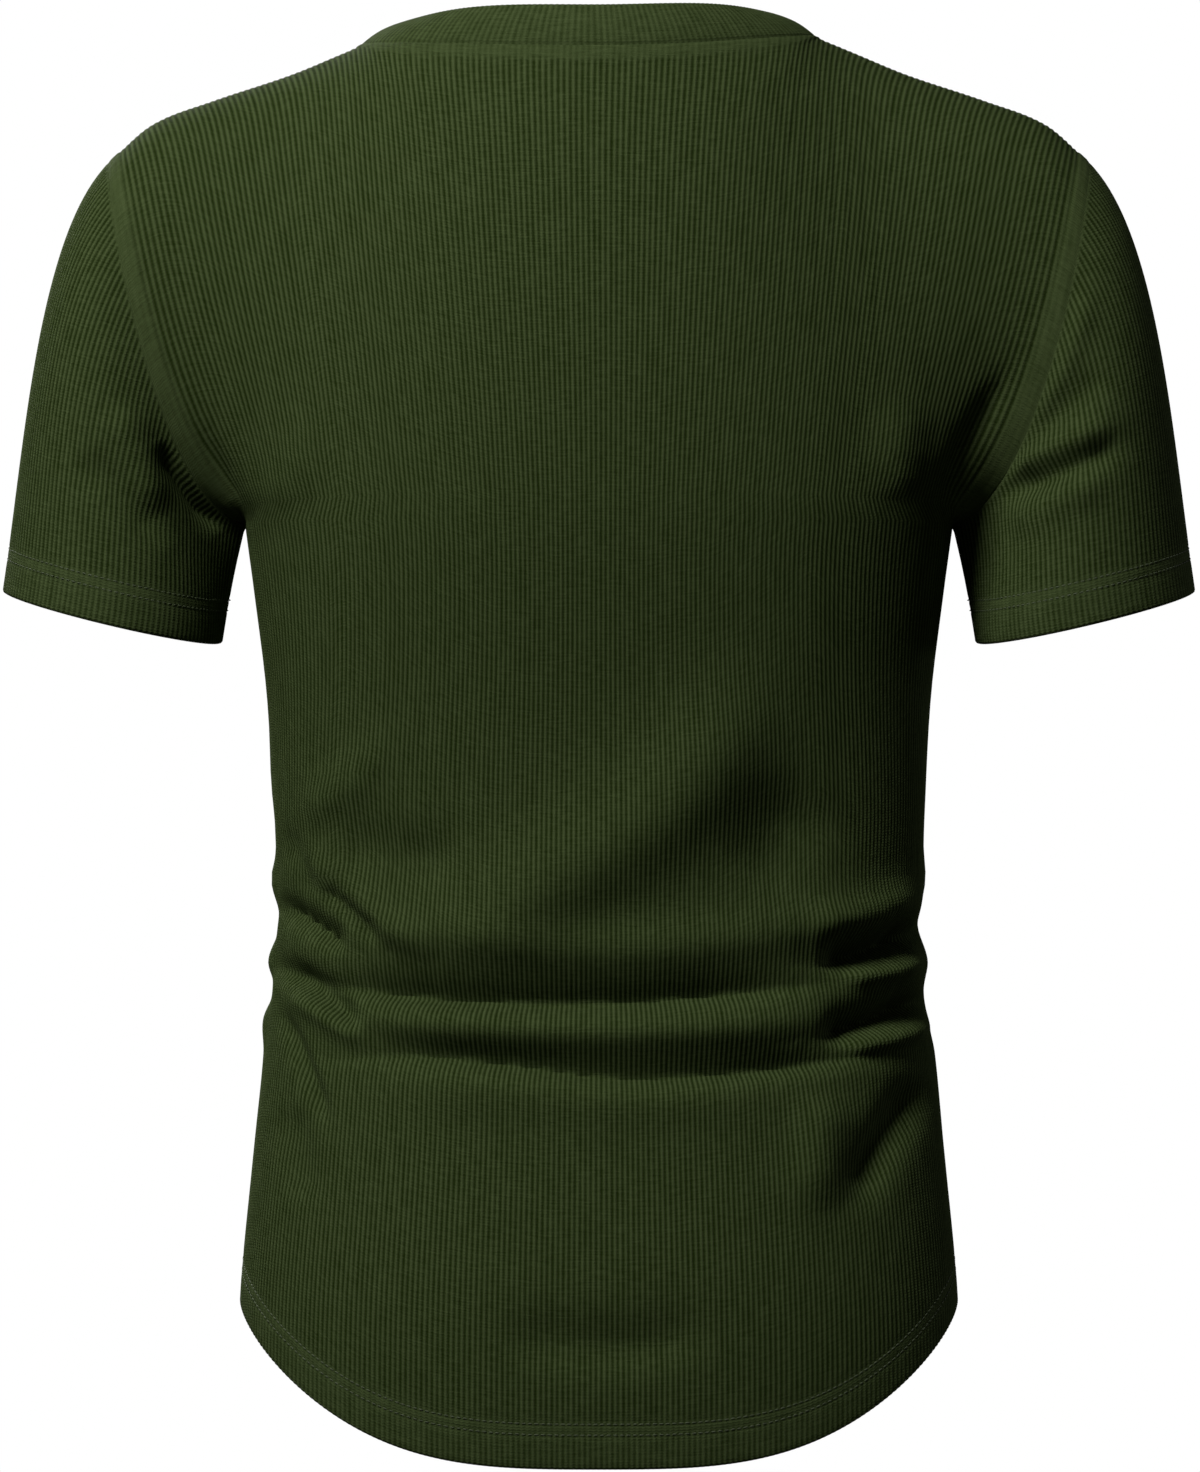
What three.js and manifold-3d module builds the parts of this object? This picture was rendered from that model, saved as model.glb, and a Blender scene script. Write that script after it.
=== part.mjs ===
// A short-sleeved henley shirt in rib-knit jersey, filled out as if worn, with nobody in it.
// Millimetres, +Z up, -Y the wearer's front, +X the wearer's left. The origin lies between the two
// neck points, where the shirt hangs on the wearer's shoulders.
// Each cut piece is a closed wall of cloth: a smooth inner face, and an outer face with raised ribs.
import * as THREE from "three";
import Module from "manifold-3d";
import { mergeVertices } from "three/addons/utils/BufferGeometryUtils.js";

const wasm = await Module();
wasm.setup();

// Driving sizes of the cloth.
const CLOTH = 1.6;
const HEM_DEPTH = 22;
const HEM_CLOTH = 2.6;
const RIB_RISE = 0.6;
const SEAM_HALF_GAP = 0.15;
const UNDERARM_EASE = 0.6;
const RIB_FADE = 7;

// Driving sizes of the cut.
const ARMPIT_Z = -227;
const NECK_SHARE = 0.5;
const NECK_UPRIGHT = 0.5;
const BODY_RIBS = 62;
const SLEEVE_RIBS = 38;
const SLEEVE_INNER_RIBS = 16;
const BODY_INNER_COLS = 36;
const HEM_STEP = 0.6;
const BAND_RIBS = BODY_RIBS * 2 * NECK_SHARE;
const HEM_CURVE = 1.68;
const HOOP = { power: 2.3, half: 160, depth: 95, steps: 200 };

// Levels above the armpit are told by share: level = ARMPIT_Z + share * YOKE.
const YOKE = 220;
// The length of cloth from a panel's centre to its side seam, near enough.
const HALF_SPAN = 240;
// How far across, and how much, the corner of the top edge at the neck point is eased out below it.
const EASE = { across: 0.2, fade: 0.7, taps: [1, 2, 3, 3, 3, 2, 1], sag: 0.15 };

// The torso's level sections: half its width, and how far back and front stand from the side seams.
const TORSO = [
  { z: -700, half: 170, back: 103, front: 110 },
  { z: -600, half: 170, back: 105, front: 111 },
  { z: -530, half: 164, back: 97, front: 106 },
  { z: -470, half: 157.5, back: 87, front: 100 },
  { z: -415, half: 153, back: 82, front: 98 },
  { z: -370, half: 154, back: 83, front: 102 },
  { z: -310, half: 157, back: 88, front: 110 },
  { z: -260, half: 163, back: 95, front: 116 },
  { z: ARMPIT_Z, half: 167.5, back: 99, front: 118 },
];

// The slope of the shoulder, which carries the shoulder seam from neck point to sleeve head.
const SHOULDER = [
  { x: 96, z: 7 },
  { x: 110, z: 1.5 },
  { x: 122, z: -3.5 },
  { x: 146, z: -13.5 },
  { x: 183, z: -26 },
  { x: 212, z: -37.5 },
  { x: 232, z: -55 },
];
const SLEEVE_HEAD = { x: 232, z: -55 };
const NECK_POINT = { left: 114, right: 104 };
const NECK_Y = -3;
const NECKLINE = {
  back: { y: 68, z: -7, fall: 2 },
  front: { y: -84, z: -80, fall: 1.35 },
};

// How the cloth leaves the armpit level and how it arrives at the top edge, as directions with a pull.
const PULL = {
  back: {
    rise: [0, 14, 215],
    riseAtArmhole: [122, 182, 22],
    intoNeck: [0, -95, 175],
    overShoulder: [0, -200, 14],
  },
  front: {
    rise: [0, -12, 190],
    riseAtArmhole: [84, -170, 22],
    intoNeck: [0, 60, 125],
    overShoulder: [0, 196, 14],
  },
};
const ARMHOLE_BIAS = 6;

// The sleeve: its cuff, and the pull of the cloth at the head, at the underarm and along the arm.
const SLEEVE = {
  cuff: { x: 231, z: -271, half: 53, depth: 57, backDrop: 4.2 },
  outward: [0.972, 0, 0.234],
  downArm: [0.15, 0, -0.985],
  head: { pull: [101, 0, -98], arrive: 205 },
  underarm: { pull: [12, 0, -54], arrive: 54 },
  swell: 22,
  foldsFrom: 0.15,
};

// The rows of points of each panel, from the hem up to the armpit: heights at the side seam and at
// the centre. The rows at the waist follow its troughs and rolls.
const BACK_ROWS = [
  { name: "hem", side: -595, centre: -663 },
  { name: "hem fold", side: -573, centre: -641 },
  { name: "seat", side: -556, centre: -602 },
  { name: "hip", side: -532, centre: -550 },
  { name: "high hip", side: -505, centre: -512 },
  { name: "under low trough", side: -484, centre: -490 },
  { name: "low trough", side: -471, centre: -478 },
  { name: "waist roll", side: -457, centre: -461 },
  { name: "high trough", side: -441, centre: -444 },
  { name: "upper roll", side: -423, centre: -427 },
  { name: "waist", side: -398, centre: -400 },
  { name: "small of back", side: -355, centre: -355 },
  { name: "low chest", side: -290, centre: -290 },
];
const FRONT_ROWS = [
  { name: "hem", side: -595, centre: -650 },
  { name: "hem fold", side: -573, centre: -628 },
  { name: "low front", side: -545, centre: -575 },
  { name: "hip", side: -505, centre: -515 },
  { name: "low trough", side: -478, centre: -484 },
  { name: "waist roll", side: -457, centre: -462 },
  { name: "high trough", side: -438, centre: -442 },
  { name: "waist", side: -405, centre: -408 },
  { name: "low chest", side: -330, centre: -330 },
];
// The rows above the armpit, and those of a sleeve, as shares of the way up and of the way down.
const UPPER_SHARES = [0, 0.14, 0.32, 0.52, 0.71, 0.88, 1];
const SLEEVE_SHARES = [0, 0.1, 0.24, 0.42, 0.64, 0.82, 1];

// The largest folds, as soft troughs (depth below 0) and rolls (above 0). Each runs from (x1, z1)
// by way of (x2, z2) to (x3, z3), seen from behind or from the front, and dies out at its ends.
const BACK_FOLDS = [
  { x1: 148, z1: -436, x2: 16, z2: -447, x3: -140, z3: -434, wide: 10, depth: -8 },
  { x1: 146, z1: -474, x2: -6, z2: -480, x3: -160, z3: -471, wide: 9.5, depth: -7 },
  { x1: 150, z1: -456, x2: 0, z2: -463, x3: -150, z3: -455, wide: 8, depth: 3.5 },
  { x1: 148, z1: -404, x2: 20, z2: -423, x3: -150, z3: -406, wide: 13, depth: 3.5 },
  { x1: 154, z1: -402, x2: 130, z2: -412, x3: 104, z3: -426, wide: 8, depth: -5 },
  { x1: 158, z1: -446, x2: 134, z2: -460, x3: 108, z3: -472, wide: 7, depth: -5 },
  { x1: -116, z1: -436, x2: -136, z2: -428, x3: -156, z3: -416, wide: 10, depth: -6 },
  { x1: -114, z1: -470, x2: -136, z2: -462, x3: -158, z3: -450, wide: 9, depth: -6 },
  { x1: -78, z1: -262, x2: -4, z2: -352, x3: 76, z3: -410, wide: 26, depth: 6 },
  { x1: -152, z1: -494, x2: -138, z2: -520, x3: -118, z3: -546, wide: 10, depth: -5 },
  { x1: 185, z1: -176, x2: 176, z2: -202, x3: 168, z3: -226, wide: 12, depth: -5 },
  { x1: -168, z1: -172, x2: -166, z2: -200, x3: -160, z3: -232, wide: 12, depth: -6 },
];
const FRONT_FOLDS = [
  { x1: 148, z1: -438, x2: 10, z2: -447, x3: -146, z3: -440, wide: 10, depth: -7 },
  { x1: 152, z1: -476, x2: -10, z2: -486, x3: -148, z3: -472, wide: 10, depth: -6 },
  { x1: 146, z1: -456, x2: 0, z2: -464, x3: -148, z3: -456, wide: 9, depth: 3 },
  { x1: 158, z1: -404, x2: 134, z2: -418, x3: 112, z3: -432, wide: 9, depth: -5 },
  { x1: -156, z1: -452, x2: -136, z2: -464, x3: -112, z3: -474, wide: 8, depth: -5 },
  { x1: 66, z1: -280, x2: 0, z2: -356, x3: -76, z3: -408, wide: 26, depth: 4 },
  { x1: 182, z1: -176, x2: 174, z2: -202, x3: 166, z3: -228, wide: 12, depth: -5 },
  { x1: -182, z1: -176, x2: -174, z2: -202, x3: -166, z3: -228, wide: 12, depth: -5 },
];
const SLEEVE_FOLDS = [
  { face: 1, x1: -234, z1: -160, x2: -212, z2: -180, x3: -192, z3: -198, wide: 8, depth: -3.5 },
  { face: 1, x1: -248, z1: -188, x2: -216, z2: -206, x3: -184, z3: -216, wide: 9, depth: -4 },
  { face: 1, x1: 216, z1: -182, x2: 203, z2: -204, x3: 190, z3: -230, wide: 10, depth: -4.5 },
  { face: -1, x1: -236, z1: -180, x2: -210, z2: -198, x3: -188, z3: -216, wide: 9, depth: -4 },
  { face: -1, x1: 236, z1: -180, x2: 212, z2: -200, x3: 190, z3: -218, wide: 9, depth: -4 },
];
// How far the side seams stand out or in, which shows in the outline.
const SIDE_FOLDS = [
  { z: -520, left: 0, right: 0 },
  { z: -478, left: 0.6, right: 0.8 },
  { z: -462, left: 2.4, right: -1 },
  { z: -447, left: -1.8, right: -1.5 },
  { z: -434, left: 2.6, right: 1.6 },
  { z: -416, left: -2.4, right: -2.2 },
  { z: -396, left: 2.2, right: 1.6 },
  { z: -378, left: -1.5, right: 0 },
  { z: -350, left: 0.4, right: 0 },
  { z: -320, left: 0, right: 0 },
];

// The henley opening: a slit in the front, an upper strip with three buttons and a strip under it.
const PLACKET = {
  half: 14,
  length: 122,
  upper: 1.9,
  under: 1.4,
  gap: 0.35,
  slit: 2,
  slitLength: 112,
};
const BUTTON = { radius: 5.6, thick: 2.4, rim: 1.1, hole: 0.85, holeRing: 1.7, drops: [16, 53, 90] };
const BAND = {
  width: 23.5,
  underlap: 2.5,
  settle: 0.16,
  gap: 0.45,
  bulge: 1.6,
  lean: 0.5,
  leanSide: 0.38,
  leanPower: 3,
};

// How folds die out: over this share of their length, down to this share of their depth. Folds end
// before the side seams and below the shoulders.
const FOLD_ENDS = { share: 0.25, left: 0.15, parts: 8 };
const FOLD_SIDES = { from: 0.86, shoulderZ: -28, fade: 60 };

// Steps for the normals: in share and height on the body, in shares on a sleeve and on the neckband.
const STEPS = {
  body: [0.004, 1],
  bodyFolded: [0.006, 1.5],
  sleeve: [0.004, 0.01],
  sleeveFolded: [0.005, 0.012],
  band: [0.003, 0.05],
};

const GREEN = 0x3c4629;
const BUTTON_GREEN = 0x23281b;

const vector = (a) => new THREE.Vector3(a[0], a[1], a[2]);
const smooth = (t) => {
  const c = Math.min(1, Math.max(0, t));
  return c * c * (3 - 2 * c);
};

// Reads one column of a table as a smooth curve through its rows.
function along(table, key, column, at) {
  const n = table.length;
  let i = 0;
  while (i < n - 2 && at > table[i + 1][key]) i += 1;
  const slope = (k) => {
    const a = table[Math.max(0, k - 1)];
    const b = table[Math.min(n - 1, k + 1)];
    return (b[column] - a[column]) / (b[key] - a[key]);
  };
  const step = table[i + 1][key] - table[i][key];
  const t = Math.min(1.5, Math.max(-0.5, (at - table[i][key]) / step));
  const hold = t * t * (3 - 2 * t);
  const lean = t * (1 - t) * step;
  return (
    table[i][column] * (1 - hold) +
    table[i + 1][column] * hold +
    lean * (slope(i) * (1 - t) - slope(i + 1) * t)
  );
}

// A cubic from one point to another that leaves and arrives with the pulls given.
function drawn(from, leave, to, arrive, t) {
  const t2 = t * t;
  const t3 = t2 * t;
  return new THREE.Vector3()
    .addScaledVector(from, 2 * t3 - 3 * t2 + 1)
    .addScaledVector(leave, t3 - 2 * t2 + t)
    .addScaledVector(to, 3 * t2 - 2 * t3)
    .addScaledVector(arrive, t3 - t2);
}

// Points along a curve, to be read by share of its length.
function measured(points) {
  const run = [0];
  for (let i = 1; i < points.length; i += 1) {
    run.push(run[i - 1] + points[i].distanceTo(points[i - 1]));
  }
  return (share) => {
    const at = share * run[run.length - 1];
    let i = 0;
    while (i < points.length - 2 && run[i + 1] < at) i += 1;
    return points[i].clone().lerp(points[i + 1], (at - run[i]) / (run[i + 1] - run[i]));
  };
}

// A quarter hoop from the centre to the side, as (share of half width, share of depth).
const quarterHoop = measured(
  Array.from({ length: HOOP.steps + 1 }, (_, i) => {
    const angle = (i / HOOP.steps) * (Math.PI / 2);
    const across = HOOP.half * Math.sin(angle) ** (2 / HOOP.power);
    const deep = HOOP.depth * Math.max(0, Math.cos(angle)) ** (2 / HOOP.power);
    return new THREE.Vector3(across, deep, 0);
  }),
);

// The level section of the torso at height z, at share u from the centre (0) to a side seam (1, -1).
function hoop(face, u, z) {
  const q = quarterHoop(Math.min(1, Math.abs(u)));
  const half = along(TORSO, "z", "half", z);
  const depth = along(TORSO, "z", face, z) * (face === "back" ? 1 : -1);
  return new THREE.Vector3((Math.sign(u) * half * q.x) / HOOP.half, (depth * q.y) / HOOP.depth, z);
}

// The top edge of a panel: the neckline out to the neck point, then the shoulder seam.
const topEdges = {};
const SEAM_STEPS = 80;
for (const face of ["back", "front"]) {
  for (const hand of ["left", "right"]) {
    const sign = hand === "left" ? 1 : -1;
    const neckX = NECK_POINT[hand];
    const neckZ = along(SHOULDER, "x", "z", neckX);
    const low = NECKLINE[face];
    const neck = (share) => {
      const even = (share * Math.PI) / 2;
      const angle = even + (Math.asin(Math.min(1, share)) - even) * NECK_UPRIGHT;
      const dip = Math.cos(angle);
      return new THREE.Vector3(
        sign * neckX * Math.sin(angle),
        NECK_Y + (low.y - NECK_Y) * dip,
        neckZ + (low.z - neckZ) * dip ** low.fall,
      );
    };
    const seam = measured(
      Array.from({ length: SEAM_STEPS + 1 }, (_, i) => {
        const share = i / SEAM_STEPS;
        const x = neckX + (SLEEVE_HEAD.x - neckX) * share;
        return new THREE.Vector3(sign * x, NECK_Y * (1 - share), along(SHOULDER, "x", "z", x));
      }),
    );
    topEdges[face + hand] = { neck, seam };
  }
}
function topEdge(face, u) {
  const edge = topEdges[face + (u < 0 ? "right" : "left")];
  const far = Math.abs(u);
  if (far <= NECK_SHARE) return edge.neck(far / NECK_SHARE);
  return edge.seam((far - NECK_SHARE) / (1 - NECK_SHARE));
}

// The torso above the armpit level, at share w of the way to the top edge.
function yoke(face, u, w) {
  const pull = PULL[face];
  const far = Math.min(1, Math.abs(u));
  const side = Math.sign(u) || 1;
  const leave = vector(pull.rise).lerp(vector(pull.riseAtArmhole), far ** ARMHOLE_BIAS);
  const overNeck = Math.min(1, far / NECK_SHARE) ** 2;
  const arrive = vector(pull.intoNeck).lerp(vector(pull.overShoulder), overNeck);
  leave.x *= side;
  return drawn(hoop(face, u, ARMPIT_Z), leave, topEdge(face, u), arrive, w);
}

// The torso, with the corner of the top edge at the neck point eased out in the cloth below it.
function torso(face, u, level) {
  if (level <= ARMPIT_Z) return hoop(face, u, level);
  const w = (level - ARMPIT_Z) / YOKE;
  const lower = Math.sin(Math.PI * Math.min(1, w)) ** EASE.fade;
  const reach = EASE.across * lower * (1 - Math.abs(u) ** 3);
  if (reach < 1e-3) return yoke(face, u, w);
  const middle = (EASE.taps.length - 1) / 2;
  const total = EASE.taps.reduce((a, b) => a + b);
  const sum = new THREE.Vector3();
  EASE.taps.forEach((weight, i) => {
    sum.addScaledVector(yoke(face, u + (reach * (i - middle)) / middle, w), weight / total);
  });
  const sag = yoke(face, u, w).sub(sum);
  return sum.addScaledVector(sag, EASE.sag);
}

// How far a fold lifts or sinks the cloth at (x, z).
function foldAt(fold, x, z) {
  const { share: endShare, left, parts } = FOLD_ENDS;
  const route = (t) => {
    const bendX = 2 * fold.x2 - (fold.x1 + fold.x3) / 2;
    const bendZ = 2 * fold.z2 - (fold.z1 + fold.z3) / 2;
    const [a, b, c] = [(1 - t) * (1 - t), 2 * t * (1 - t), t * t];
    return [a * fold.x1 + b * bendX + c * fold.x3, a * fold.z1 + b * bendZ + c * fold.z3];
  };
  let best = Infinity;
  let where = 0;
  for (let i = 0; i < parts; i += 1) {
    const [x1, z1] = route(i / parts);
    const [x2, z2] = route((i + 1) / parts);
    const [dx, dz] = [x2 - x1, z2 - z1];
    const share = ((x - x1) * dx + (z - z1) * dz) / (dx * dx + dz * dz);
    const near = Math.min(1, Math.max(0, share));
    const away = Math.hypot(x - x1 - near * dx, z - z1 - near * dz);
    if (away < best) {
      best = away;
      where = (i + near) / parts;
    }
  }
  const ends = smooth(where / endShare) * smooth((1 - where) / endShare);
  return fold.depth * (left + (1 - left) * ends) * Math.exp(-((best / fold.wide) ** 2));
}

function bodyFolds(face, u, point) {
  const table = face === "back" ? BACK_FOLDS : FRONT_FOLDS;
  const rise = table.reduce((sum, fold) => sum + foldAt(fold, point.x, point.z), 0);
  const { from, shoulderZ, fade } = FOLD_SIDES;
  const open = 1 - smooth((Math.abs(u) - from) / (1 - from));
  const underSeams = smooth((shoulderZ - point.z) / fade);
  const hand = u < 0 ? "right" : "left";
  const inSides = point.z > SIDE_FOLDS[0].z && point.z < SIDE_FOLDS[SIDE_FOLDS.length - 1].z;
  const side = inSides ? along(SIDE_FOLDS, "z", hand, point.z) : 0;
  return rise * open * underSeams + side * (1 - open);
}

// The outward normal of a surface given as a function of two shares.
function normalOf(surface, a, b, [stepA, stepB], outward) {
  const across = surface(a + stepA, b).sub(surface(a - stepA, b));
  const upward = surface(a, b + stepB).sub(surface(a, b - stepB));
  return across.cross(upward).normalize().multiplyScalar(outward);
}

const levelTop = ARMPIT_Z + YOKE;
const clampU = (u) => Math.min(1, Math.max(-1, u));
function bodySurface(face) {
  const base = (u, level) => torso(face, clampU(u), Math.min(level, levelTop));
  const turn = face === "back" ? -1 : 1;
  const folded = (u, level) => {
    const point = base(u, level);
    const normal = normalOf(base, u, level, STEPS.body, turn);
    return point.addScaledVector(normal, bodyFolds(face, clampU(u), point));
  };
  const normal = (u, level) => normalOf(folded, u, level, STEPS.bodyFolded, turn);
  return { folded, normal };
}
const BODY = { back: bodySurface("back"), front: bodySurface("front") };

// The armhole has a corner at each panel row: up the back from the armpit to the sleeve head, then
// down the front. It is read by share of its length, 0 and 1 at the armpit, on straight stretches.
const armholeCorners = [
  ...UPPER_SHARES.map((w) => yoke("back", 1, w)),
  ...[...UPPER_SHARES].reverse().slice(1).map((w) => yoke("front", 1, w)),
];
const armholeRun = [0];
for (let i = 1; i < armholeCorners.length; i += 1) {
  const step = armholeCorners[i].distanceTo(armholeCorners[i - 1]);
  armholeRun.push(armholeRun[i - 1] + step);
}
const armholeLength = armholeRun[armholeRun.length - 1];
const armholeShares = armholeRun.map((run) => run / armholeLength);
const HEAD_CORNER = UPPER_SHARES.length - 1;
function onArmhole(values, s) {
  const turn = s - Math.floor(s);
  let i = 0;
  while (i < armholeShares.length - 2 && armholeShares[i + 1] < turn) i += 1;
  const share = (turn - armholeShares[i]) / (armholeShares[i + 1] - armholeShares[i]);
  return values[i].clone().lerp(values[i + 1], share);
}

// The left sleeve's surface at share s round the arm and share w from the armhole to the cuff.
function sleeveBase(s, w) {
  const angle = 2 * Math.PI * s;
  const low = (1 + Math.cos(angle)) / 2;
  const back = Math.sin(angle);
  const { cuff, head, underarm } = SLEEVE;
  const end = new THREE.Vector3(cuff.x, 0, cuff.z)
    .addScaledVector(vector(SLEEVE.outward), -Math.cos(angle) * cuff.half)
    .add(new THREE.Vector3(0, back * cuff.depth, -back * cuff.backDrop));
  const lowPull = low ** 1.5;
  const leave = vector(head.pull).lerp(vector(underarm.pull), lowPull);
  leave.y += back * SLEEVE.swell;
  const arrive = vector(SLEEVE.downArm);
  arrive.multiplyScalar(head.arrive + (underarm.arrive - head.arrive) * lowPull);
  return drawn(onArmhole(armholeCorners, s), leave, end, arrive, w);
}
function sleeveSurface(sign) {
  const folded = (s, w) => {
    const point = sleeveBase(s, w);
    const rise = SLEEVE_FOLDS.filter((f) => Math.sign(f.x1) === sign).reduce((sum, fold) => {
      const facing = smooth((fold.face * point.y) / 20);
      return sum + facing * foldAt(fold, sign * point.x, point.z);
    }, 0);
    const normal = normalOf(sleeveBase, s, w, STEPS.sleeve, 1);
    return point.addScaledVector(normal, rise * smooth(w / SLEEVE.foldsFrom));
  };
  const normal = (s, w) => normalOf(folded, s, w, STEPS.sleeveFolded, 1);
  return { folded, normal };
}
const SLEEVES = { left: sleeveSurface(1), right: sleeveSurface(-1) };

// A seam has one normal for the walls on both its sides, so that they stay parallel and apart. It is
// read a little way into each wall, and points down at the armpit.
const SEAM_NORMALS = { bodyShare: 0.985, sleeveShare: 0.04, below: 3, underShare: 0.06 };
const armholeNormals = {};
for (const hand of ["left", "right"]) {
  const sign = hand === "left" ? 1 : -1;
  armholeNormals[hand] = armholeCorners.map((_, i) => {
    const face = i <= HEAD_CORNER ? "back" : "front";
    const w = UPPER_SHARES[i <= HEAD_CORNER ? i : 2 * HEAD_CORNER - i];
    const { bodyShare, sleeveShare, below, underShare } = SEAM_NORMALS;
    const level = Math.min(ARMPIT_Z + YOKE * w, levelTop - below);
    const body = BODY[face].normal(bodyShare * sign, level);
    body.x *= sign;
    const share = armholeShares[i];
    const both = body.add(SLEEVES[hand].normal(share, sleeveShare));
    const under = smooth((underShare - Math.min(share, 1 - share)) / underShare);
    return both.normalize().lerp(new THREE.Vector3(0, 0, -1), under).normalize();
  });
}

// Joins two lines of points with a strip of triangles. Each line has marks that say how far along
// it its points are, so that the strip runs straight across.
function zip(triangles, lineA, marksA, lineB, marksB) {
  let i = 0;
  let j = 0;
  while (i < lineA.length - 1 || j < lineB.length - 1) {
    if (j === lineB.length - 1 || (i < lineA.length - 1 && marksA[i + 1] <= marksB[j + 1])) {
      triangles.push(lineA[i], lineA[i + 1], lineB[j]);
      i += 1;
    } else {
      triangles.push(lineA[i], lineB[j + 1], lineB[j]);
      j += 1;
    }
  }
}

// A closed wall from a grid of outer points and a sparser grid of inner points, row by row from
// below. A grid is { rows, levels, marks }: its points, and where its rows and columns lie.
function wall(outer, inner, round) {
  const positions = [];
  const triangles = [];
  const lay = (grid) =>
    grid.rows.map((row) => row.map((p) => positions.push(p.x, p.y, p.z) / 3 - 1));
  const out = lay(outer);
  const ins = lay(inner);
  const skin = (ids, flip) => {
    for (let r = 0; r < ids.length - 1; r += 1) {
      for (let c = 0; c < ids[r].length - 1; c += 1) {
        const [a, b, d, e] = [ids[r][c], ids[r][c + 1], ids[r + 1][c], ids[r + 1][c + 1]];
        if (flip) triangles.push(a, d, b, b, d, e);
        else triangles.push(a, b, d, b, e, d);
      }
    }
  };
  if (round) {
    for (const ids of [...out, ...ins]) ids[ids.length - 1] = ids[0];
  }
  skin(out, false);
  skin(ins, true);
  const column = (ids, c) => ids.map((row) => row[c < 0 ? row.length + c : c]);
  const across = (a, marksA, b, marksB) => zip(triangles, a, marksA, b, marksB);
  across(ins[0], inner.marks, out[0], outer.marks);
  across(out[out.length - 1], outer.marks, ins[ins.length - 1], inner.marks);
  if (!round) {
    across(column(out, 0), outer.levels, column(ins, 0), inner.levels);
    across(column(ins, -1), inner.levels, column(out, -1), outer.levels);
  }
  return { positions, triangles };
}

function geometryOf({ positions, triangles }) {
  const geometry = new THREE.BufferGeometry();
  geometry.setAttribute("position", new THREE.Float32BufferAttribute(positions, 3));
  geometry.setIndex(triangles);
  return geometry;
}
function solidOf(geometry) {
  const plain = geometry.clone();
  plain.deleteAttribute("normal");
  plain.deleteAttribute("uv");
  const merged = mergeVertices(plain, 1e-4);
  return new wasm.Manifold(
    new wasm.Mesh({
      numProp: 3,
      vertProperties: merged.attributes.position.array,
      triVerts: new Uint32Array(merged.index.array),
    }),
  );
}
function geometryFrom(solid) {
  const mesh = solid.getMesh();
  const positions = [];
  for (let i = 0; i < mesh.numVert; i += 1) {
    positions.push(...mesh.vertProperties.subarray(i * mesh.numProp, i * mesh.numProp + 3));
  }
  return geometryOf({ positions, triangles: Array.from(mesh.triVerts) });
}

const spread = (n, from = 0, to = 1) =>
  Array.from({ length: n + 1 }, (_, i) => from + ((to - from) * i) / n);

// The height of a panel row at share u: rows below the waist bow down with the curved hem.
function rowHeight(row, u) {
  const bow = (1 - Math.cos(Math.PI * Math.abs(u) ** HEM_CURVE)) / 2;
  return row.centre + (row.side - row.centre) * bow;
}

// The levels of all rows of a panel at share u, from the hem to the top edge.
function panelLevels(face, u) {
  const rows = face === "back" ? BACK_ROWS : FRONT_ROWS;
  const upper = UPPER_SHARES.map((w) => Math.min(w, 1 - SEAM_HALF_GAP / YOKE));
  return [...rows.map((row) => rowHeight(row, u)), ...upper.map((w) => ARMPIT_Z + YOKE * w)];
}

// The front or back of the body.
function bodyPanel(face) {
  const rows = face === "back" ? BACK_ROWS : FRONT_ROWS;
  const { folded, normal } = BODY[face];
  const turn = face === "back" ? -1 : 1;
  const edge = 1 - SEAM_HALF_GAP / HALF_SPAN;
  const levelAt = (r, u) => panelLevels(face, u)[r];
  const rowCount = rows.length + UPPER_SHARES.length;

  const cornerNormal = (r, u) => {
    const level = levelAt(r, u);
    const hand = u < 0 ? "right" : "left";
    const sign = Math.sign(u);
    if (Math.abs(u) >= edge && r >= rows.length) {
      const i = r - rows.length;
      const n = armholeNormals[hand][face === "back" ? i : 2 * HEAD_CORNER - i].clone();
      n.x *= sign;
      return n;
    }
    if (Math.abs(u) >= edge) {
      const n = BODY.back.normal(u, level).add(BODY.front.normal(u, level));
      n.y = 0;
      return n.normalize();
    }
    if (r === rowCount - 1 && Math.abs(u) > NECK_SHARE) {
      const there = levelTop - 2;
      const blend = BODY.back.normal(u, there).add(BODY.front.normal(u, there)).normalize();
      const tip = armholeNormals[hand][HEAD_CORNER].clone();
      tip.x *= sign;
      return blend.lerp(tip, smooth((Math.abs(u) - 0.85) / 0.15)).normalize();
    }
    return normal(u, Math.min(level, levelTop - 2));
  };

  const layer = (cols, layerRows, lift) => {
    const marks = spread(cols, -edge, edge);
    const rows = layerRows.map(({ r, raise = 0, thick }) =>
      marks.map((share, i) => {
        const u = share * turn;
        return folded(u, levelAt(r, u) + raise).addScaledVector(cornerNormal(r, u), lift(r, u, i, thick));
      }),
    );
    return { rows, levels: layerRows.map(({ r, raise = 0 }) => r + raise / 100), marks };
  };
  const everyRow = Array.from({ length: rowCount }, (_, r) => ({ r, thick: r < 2 ? HEM_CLOTH : CLOTH }));
  const ribLift = (r, u, i) => {
    const sideFade = smooth(((1 - Math.abs(u)) * HALF_SPAN) / RIB_FADE);
    return i % 2 === 1 && r < rowCount - 1 ? RIB_RISE * sideFade : 0;
  };
  const outer = layer(2 * BODY_RIBS, everyRow, ribLift);
  const hemStep = { r: 1, raise: HEM_STEP, thick: CLOTH };
  const innerRows = [...everyRow.slice(0, 2), hemStep, ...everyRow.slice(2)];
  const inner = layer(BODY_INNER_COLS, innerRows, (r, u, i, thick) => -thick);
  return wall(outer, inner, false);
}

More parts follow.
